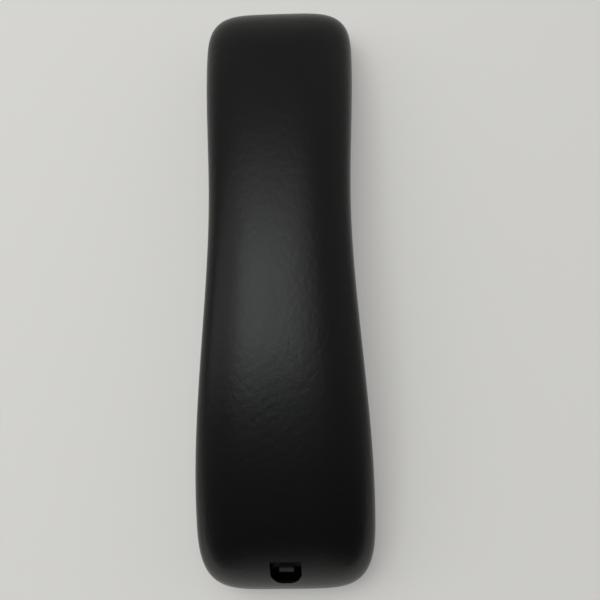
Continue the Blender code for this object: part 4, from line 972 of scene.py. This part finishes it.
def plain_steel():
    """Zinc-plated steel: bluish and straw patches over fine rolling lines."""
    finish = Finish("plain_steel", 0.34, 1.0)
    patches = finish.noise(0.0016, 3.0)
    lines = finish.noise(0.0003, 2.0, finish.mapped(scale=(1.0, 0.08, 1.0)))
    return finish.done(
        finish.shade(patches, (0.42, 0.44, 0.47), (0.50, 0.47, 0.40)),
        0.24 + patches * 0.14 + lines * 0.10,
        lines, 0.000006, 0.5)


def magnet_nickel():
    """Nickel plating on a sintered magnet, slightly cloudy."""
    finish = Finish("magnet_nickel", 0.25, 1.0)
    cloud = finish.noise(0.0012, 4.0)
    return finish.done(
        finish.shade(cloud, (0.50, 0.47, 0.42), (0.62, 0.60, 0.55)),
        0.16 + cloud * 0.2,
        finish.noise(0.0003, 2.0), 0.000004, 0.5)


def copper_winding():
    """Turns of enamelled wire, 0.1 mm thick, wound round the coil, with painted shade in the grooves between
    turns.
    """
    finish = Finish("copper_winding", 0.3, 1.0)
    wire = 0.0001
    turn = (finish.coordinates.parts()[2] / wire).fraction()
    round_wire = turn * (1.0 - turn) * 4.0
    tone = finish.noise(0.0008, 2.0)
    # Painted shade: each turn is lighter on its crest and darker in the grooves between turns
    return finish.done(
        finish.shade(round_wire * tone, (0.30, 0.10, 0.03), (0.80, 0.36, 0.16)),
        0.42 - round_wire * 0.16,
        round_wire, 0.00004, 1.0)


def gold_contact():
    """Gold-plated spring wire, brushed along its length."""
    finish = Finish("gold_contact", 0.22, 1.0)
    lines = finish.noise(0.00025, 2.0, finish.mapped(scale=(1.0, 0.1, 0.4)))
    return finish.done(
        finish.shade(lines, (0.72, 0.46, 0.13), (0.92, 0.68, 0.28)),
        0.14 + lines * 0.16,
        lines, 0.000004, 0.5)


def capsule_shell():
    """Drawn aluminium, with fine rings from turning."""
    finish = Finish("capsule_shell", 0.3, 1.0)
    x, y, z = finish.mapped(centre=(*middle("microphone_capsule"), 0.0)).parts()
    radius = (x * x + y * y).root()
    rings = finish.noise(0.00012, 2.0, finish.vector(radius, radius, z))
    return finish.done(
        finish.shade(rings, (0.58, 0.58, 0.60), (0.76, 0.76, 0.77)),
        0.2 + rings * 0.2,
        rings, 0.000006, 0.6)


def board_laminate():
    """Green laminate: glass weave under its lacquer, with lighter tracks."""
    finish = Finish("board_laminate", 0.35, Coat_Weight=0.4)
    bundle = 0.0005
    bands = 9.0
    half_track = 0.16
    x, y = finish.coordinates.parts()[:2]
    weave = 0.5 + 0.25 * ((x / bundle * math.pi).sine() + (y / bundle * math.pi).sine())
    path = finish.noise(0.0022, 0.0, finish.mapped(scale=(1.0, 0.35, 1.0)))
    band = (path * bands).fraction()
    track = (abs(band - 0.5) < half_track).limited()
    tone = finish.shade(weave, (0.012, 0.085, 0.035), (0.02, 0.13, 0.055))
    return finish.done(
        finish.shade(track, tone, (0.045, 0.22, 0.085)),
        0.38 - track * 0.08,
        weave * 0.3 + track * 0.7, 0.00002, 0.7)


def chip_ceramic():
    """A chip capacitor: a fired body between two tinned ends."""
    finish = Finish("chip_ceramic", 0.5)
    body_share = 0.55
    low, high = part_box("board_capacitor_1")
    half = (high.x - low.x) / 2
    spread = high.x - half
    from_middle = abs(abs(finish.coordinates.parts()[0]) - abs(spread))
    tinned = from_middle > half * body_share
    speckle = finish.noise(0.0001, 3.0)
    body = finish.shade(speckle, (0.36, 0.27, 0.17), (0.52, 0.42, 0.28))
    finish.feed("Metallic", tinned)
    return finish.done(
        finish.shade(tinned, body, (0.62, 0.62, 0.60)),
        0.55 - tinned * 0.2 + speckle * 0.1,
        speckle, 0.000008, 0.5)


def foam():
    """Closed-cell foam, full of tiny pores, with painted shade darkening each pore."""
    finish = Finish("foam", 0.95)
    pores = finish.cells(0.0003)
    # Painted shade: darker at the bottom of each pore, lighter between them
    return finish.done(
        finish.tinted(pores, 0.4, 1.5),
        0.85 + pores * 0.12,
        pores, 0.0001, 1.0)


def acoustic_cloth():
    """Thin black cloth with a plain weave of 0.3 mm threads, with painted shade where the threads dip."""
    finish = Finish("acoustic_cloth", 0.9, Sheen_Weight=0.3)
    yarn = 0.0003
    x, y = finish.coordinates.parts()[:2]
    across = (x / yarn * math.pi).sine()
    along = (y / yarn * math.pi).sine()
    over = across * along
    warp = (1.0 - abs(across)) * (over > 0.0)
    weft = (1.0 - abs(along)) * (over < 0.0)
    thread = 1.0 - (warp + weft)
    fibre = finish.noise(0.00006, 2.0)
    # Painted shade: darker where the threads dip between crossings, lighter on their crests
    return finish.done(
        finish.tinted(thread, 0.3, 1.8),
        0.8 + fibre * 0.15,
        thread * 0.8 + fibre * 0.2, 0.00008, 1.0)


def diaphragm_film():
    """Thin amber film, with faint rings pressed into it."""
    finish = Finish("diaphragm_film", 0.3, Coat_Weight=0.5)
    ring_spacing = 0.0006
    x, y = finish.mapped(centre=(*middle("receiver_diaphragm"), 0.0)).parts()[:2]
    radius = (x * x + y * y).root()
    ring = (radius / ring_spacing * (2 * math.pi)).sine() * 0.5 + 0.5
    cloud = finish.noise(0.002, 2.0)
    return finish.done(
        finish.tinted(cloud, 0.8, 1.15),
        0.24 + cloud * 0.16,
        ring, 0.00001, 0.5)


# Cloudy finishes: plain roughness, its least value and spread, the clouds' size and detail, their tints,
# and the grain's size, depth and strength
LEAD_CLOUDS = (0.4, (0.34, 0.16), (0.0008, 2.0), (0.8, 1.15), (0.0002, 0.000008, 0.5))
CLOUDED_SLOTS = {
    "inner_plastic": (0.5, (0.42, 0.16), (0.002, 3.0), (0.85, 1.15), (0.00025, 0.00001, 0.6)),
    "boot_rubber": (0.8, (0.7, 0.2), (0.0015, 3.0), (0.8, 1.6), (0.00015, 0.00002, 0.6)),
    "lead_red": LEAD_CLOUDS,
    "lead_black": LEAD_CLOUDS,
    "lead_white": LEAD_CLOUDS,
    "lead_green": LEAD_CLOUDS,
}


def clouded(slot):
    """Faint clouds over a fine grain, as on moulded plastic, dull rubber or waxy insulation."""
    plain, (least, spread), clouds, tints, (grain, depth, strength) = CLOUDED_SLOTS[slot]
    finish = Finish(slot, plain)
    cloud = finish.noise(*clouds)
    return finish.done(
        finish.tinted(cloud, *tints),
        least + cloud * spread,
        finish.noise(grain), depth, strength)


def make_materials():
    """One material for each slot of the record."""
    makers = (cover_plastic, jack_plastic, plain_steel, magnet_nickel, copper_winding, gold_contact,
              capsule_shell, board_laminate, chip_ceramic, foam, acoustic_cloth, diaphragm_film)
    materials = {maker.__name__: maker() for maker in makers}
    materials.update((slot, clouded(slot)) for slot in CLOUDED_SLOTS)
    return materials


TURNED_NODES = ("ear_cloth", "receiver_gasket", "receiver_diaphragm", "receiver_voice_coil",
                "receiver_pole_plate", "receiver_magnet", "receiver_yoke", "microphone_cloth",
                "microphone_boot", "microphone_capsule", "microphone_board")
EDGED_NODES = (("jack_housing", 0.00015), ("ballast_bar", 0.0002), ("jack_board", 0.00006),
               ("receiver_terminal_board", 0.00006), ("receiver_retainer", 0.0002),
               ("board_capacitor_1", 0.00008), ("board_capacitor_2", 0.00008), ("ballast_pad", 0.00015))
SMOOTH_NODES = (("receiver_cap", SHARP_ANGLE), ("receiver_basket", SHARP_ANGLE),
                ("jack_contact_1", WIRE_ANGLE), ("jack_contact_2", WIRE_ANGLE),
                ("jack_contact_3", WIRE_ANGLE), ("jack_contact_4", WIRE_ANGLE),
                ("receiver_lead_red", WIRE_ANGLE), ("receiver_lead_black", WIRE_ANGLE),
                ("microphone_lead_white", WIRE_ANGLE), ("microphone_lead_green", WIRE_ANGLE))


def refine_inner_pieces(materials, slots):
    """Rounder, softer-edged or smoother copies of the pieces inside."""
    def dress(piece, node, sharp_angle=SHARP_ANGLE):
        finish_piece(piece, node, materials[slots[node]], slots[node], sharp_angle)

    for node in TURNED_NODES:
        dress(respun(node, node + "_turned"), node)
    for node, width in EDGED_NODES:
        dress(softened(merged_copy(node, node + "_edged"), width), node)
    for node, sharp_angle in SMOOTH_NODES:
        dress(merged_copy(node, node + "_smooth"), node, sharp_angle)


def make_camera():
    """The camera above the handset, a little towards its mouth end and to the right."""
    data = bpy.data.cameras.new("camera")
    data.sensor_width = 36.0
    data.lens = data.sensor_width * FOCAL_PIXELS / IMAGE_PIXELS
    data.clip_start, data.clip_end = CLIP_RANGE
    camera = new_object("camera", data)
    elevation, azimuth = math.radians(CAMERA_ELEVATION), math.radians(CAMERA_AZIMUTH)
    flat = math.cos(elevation)
    outward = Vector((flat * math.sin(azimuth), -flat * math.cos(azimuth), math.sin(elevation)))
    roll = Matrix.Rotation(math.radians(CAMERA_ROLL), 4, "Z")
    turn = outward.to_track_quat("Z", "Y").to_matrix().to_4x4() @ roll
    camera.matrix_world = Matrix.Translation(Vector(CAMERA_TARGET) + outward * CAMERA_DISTANCE) @ turn
    bpy.context.scene.camera = camera


def make_floor():
    """A plain pale table top, whose faint glow keeps its shadow pale and lights the mouth end's rim."""
    shape = bmesh.new()
    bmesh.ops.create_grid(shape, x_segments=1, y_segments=1, size=FLOOR_REACH)
    bmesh.ops.translate(shape, verts=shape.verts, vec=(0.0, 0.0, -FLOOR_DROP))
    floor = mesh_object("floor", shape)
    material = bpy.data.materials.new("floor")
    material.use_nodes = True
    tree = Tree(material.node_tree)
    surface = material.node_tree.nodes["Principled BSDF"]
    surface.inputs["Base Color"].default_value = (*FLOOR_COLOR, 1.0)
    surface.inputs["Roughness"].default_value = FLOOR_ROUGHNESS
    surface.inputs["Specular IOR Level"].default_value = 0.0
    seen = tree.node("ShaderNodeLightPath", output="Is Camera Ray")
    mirrored = tree.node("ShaderNodeLightPath", output="Is Glossy Ray")
    along = tree.node("ShaderNodeTexCoord", output="Object").parts()[1]
    beyond = (-along - END_GLOW_FROM) / END_GLOW_OVER
    strength = seen + mirrored * (beyond.limited() * END_GLOW + 1.0)
    glow = tree.node("ShaderNodeVectorMath", {"operation": "SCALE"}, {0: FLOOR_GLOW, "Scale": strength})
    material.node_tree.links.new(glow.socket, surface.inputs["Emission Color"])
    surface.inputs["Emission Strength"].default_value = 1.0
    floor.data.materials.append(material)


def ceiling_light(name, low_corner, high_corner, height, radiance, color):
    """A soft rectangle of light that faces straight down."""
    data = bpy.data.lights.new(name, "AREA")
    data.shape = "RECTANGLE"
    data.size = high_corner[0] - low_corner[0]
    data.size_y = high_corner[1] - low_corner[1]
    data.energy = radiance * math.pi * data.size * data.size_y
    data.color = color
    light = new_object(name, data)
    light.location = ((low_corner[0] + high_corner[0]) / 2, (low_corner[1] + high_corner[1]) / 2, height)


def make_room():
    """A room that is dark overhead and lighter towards its four walls, and plain behind the handset.

    The wall behind the ear end is lighter to the left, and the right one is dark towards the mouth end.
    """
    world = bpy.data.worlds.new("room")
    world.use_nodes = True
    tree = Tree(world.node_tree)
    background = world.node_tree.nodes["Background"]
    x, y = tree.node("ShaderNodeTexCoord", output="Generated").parts()[:2]
    level = ROOM_OVERHEAD
    lit = ((y + DARK_CORNER) / DARK_CORNER).limited()
    for side, (strength, power) in ((-x, ROOM_LEFT), (x * lit, ROOM_RIGHT),
                                    (y * (1.0 - x * EAR_SIDE_LEAN), ROOM_EAR_SIDE),
                                    (-y, ROOM_MOUTH_SIDE)):
        level = level + side.limited() ** power * strength
    seen = tree.node("ShaderNodeLightPath", output="Is Camera Ray")
    level = level + seen * (BACKDROP_LEVEL - level)
    world.node_tree.links.new(level.socket, background.inputs["Strength"])
    background.inputs["Color"].default_value = (*ROOM_COLOR, 1.0)
    bpy.context.scene.world = world


def make_lights():
    """The soft lights and the room round them."""
    for row in LIGHTS:
        ceiling_light(*row)
    make_room()


def main():
    """Dress the handset and set the scene."""
    bpy.context.scene.view_settings.view_transform = "Standard"
    make_camera()
    slots = {row["node"]: row["material_slot"] for row in frame["record"]["subparts"]}
    materials = make_materials()
    make_rear_cover(materials["cover_plastic"])
    make_front_cover(materials["cover_plastic"])
    make_screws(materials["plain_steel"])
    refine_inner_pieces(materials, slots)
    make_floor()
    make_lights()


main()
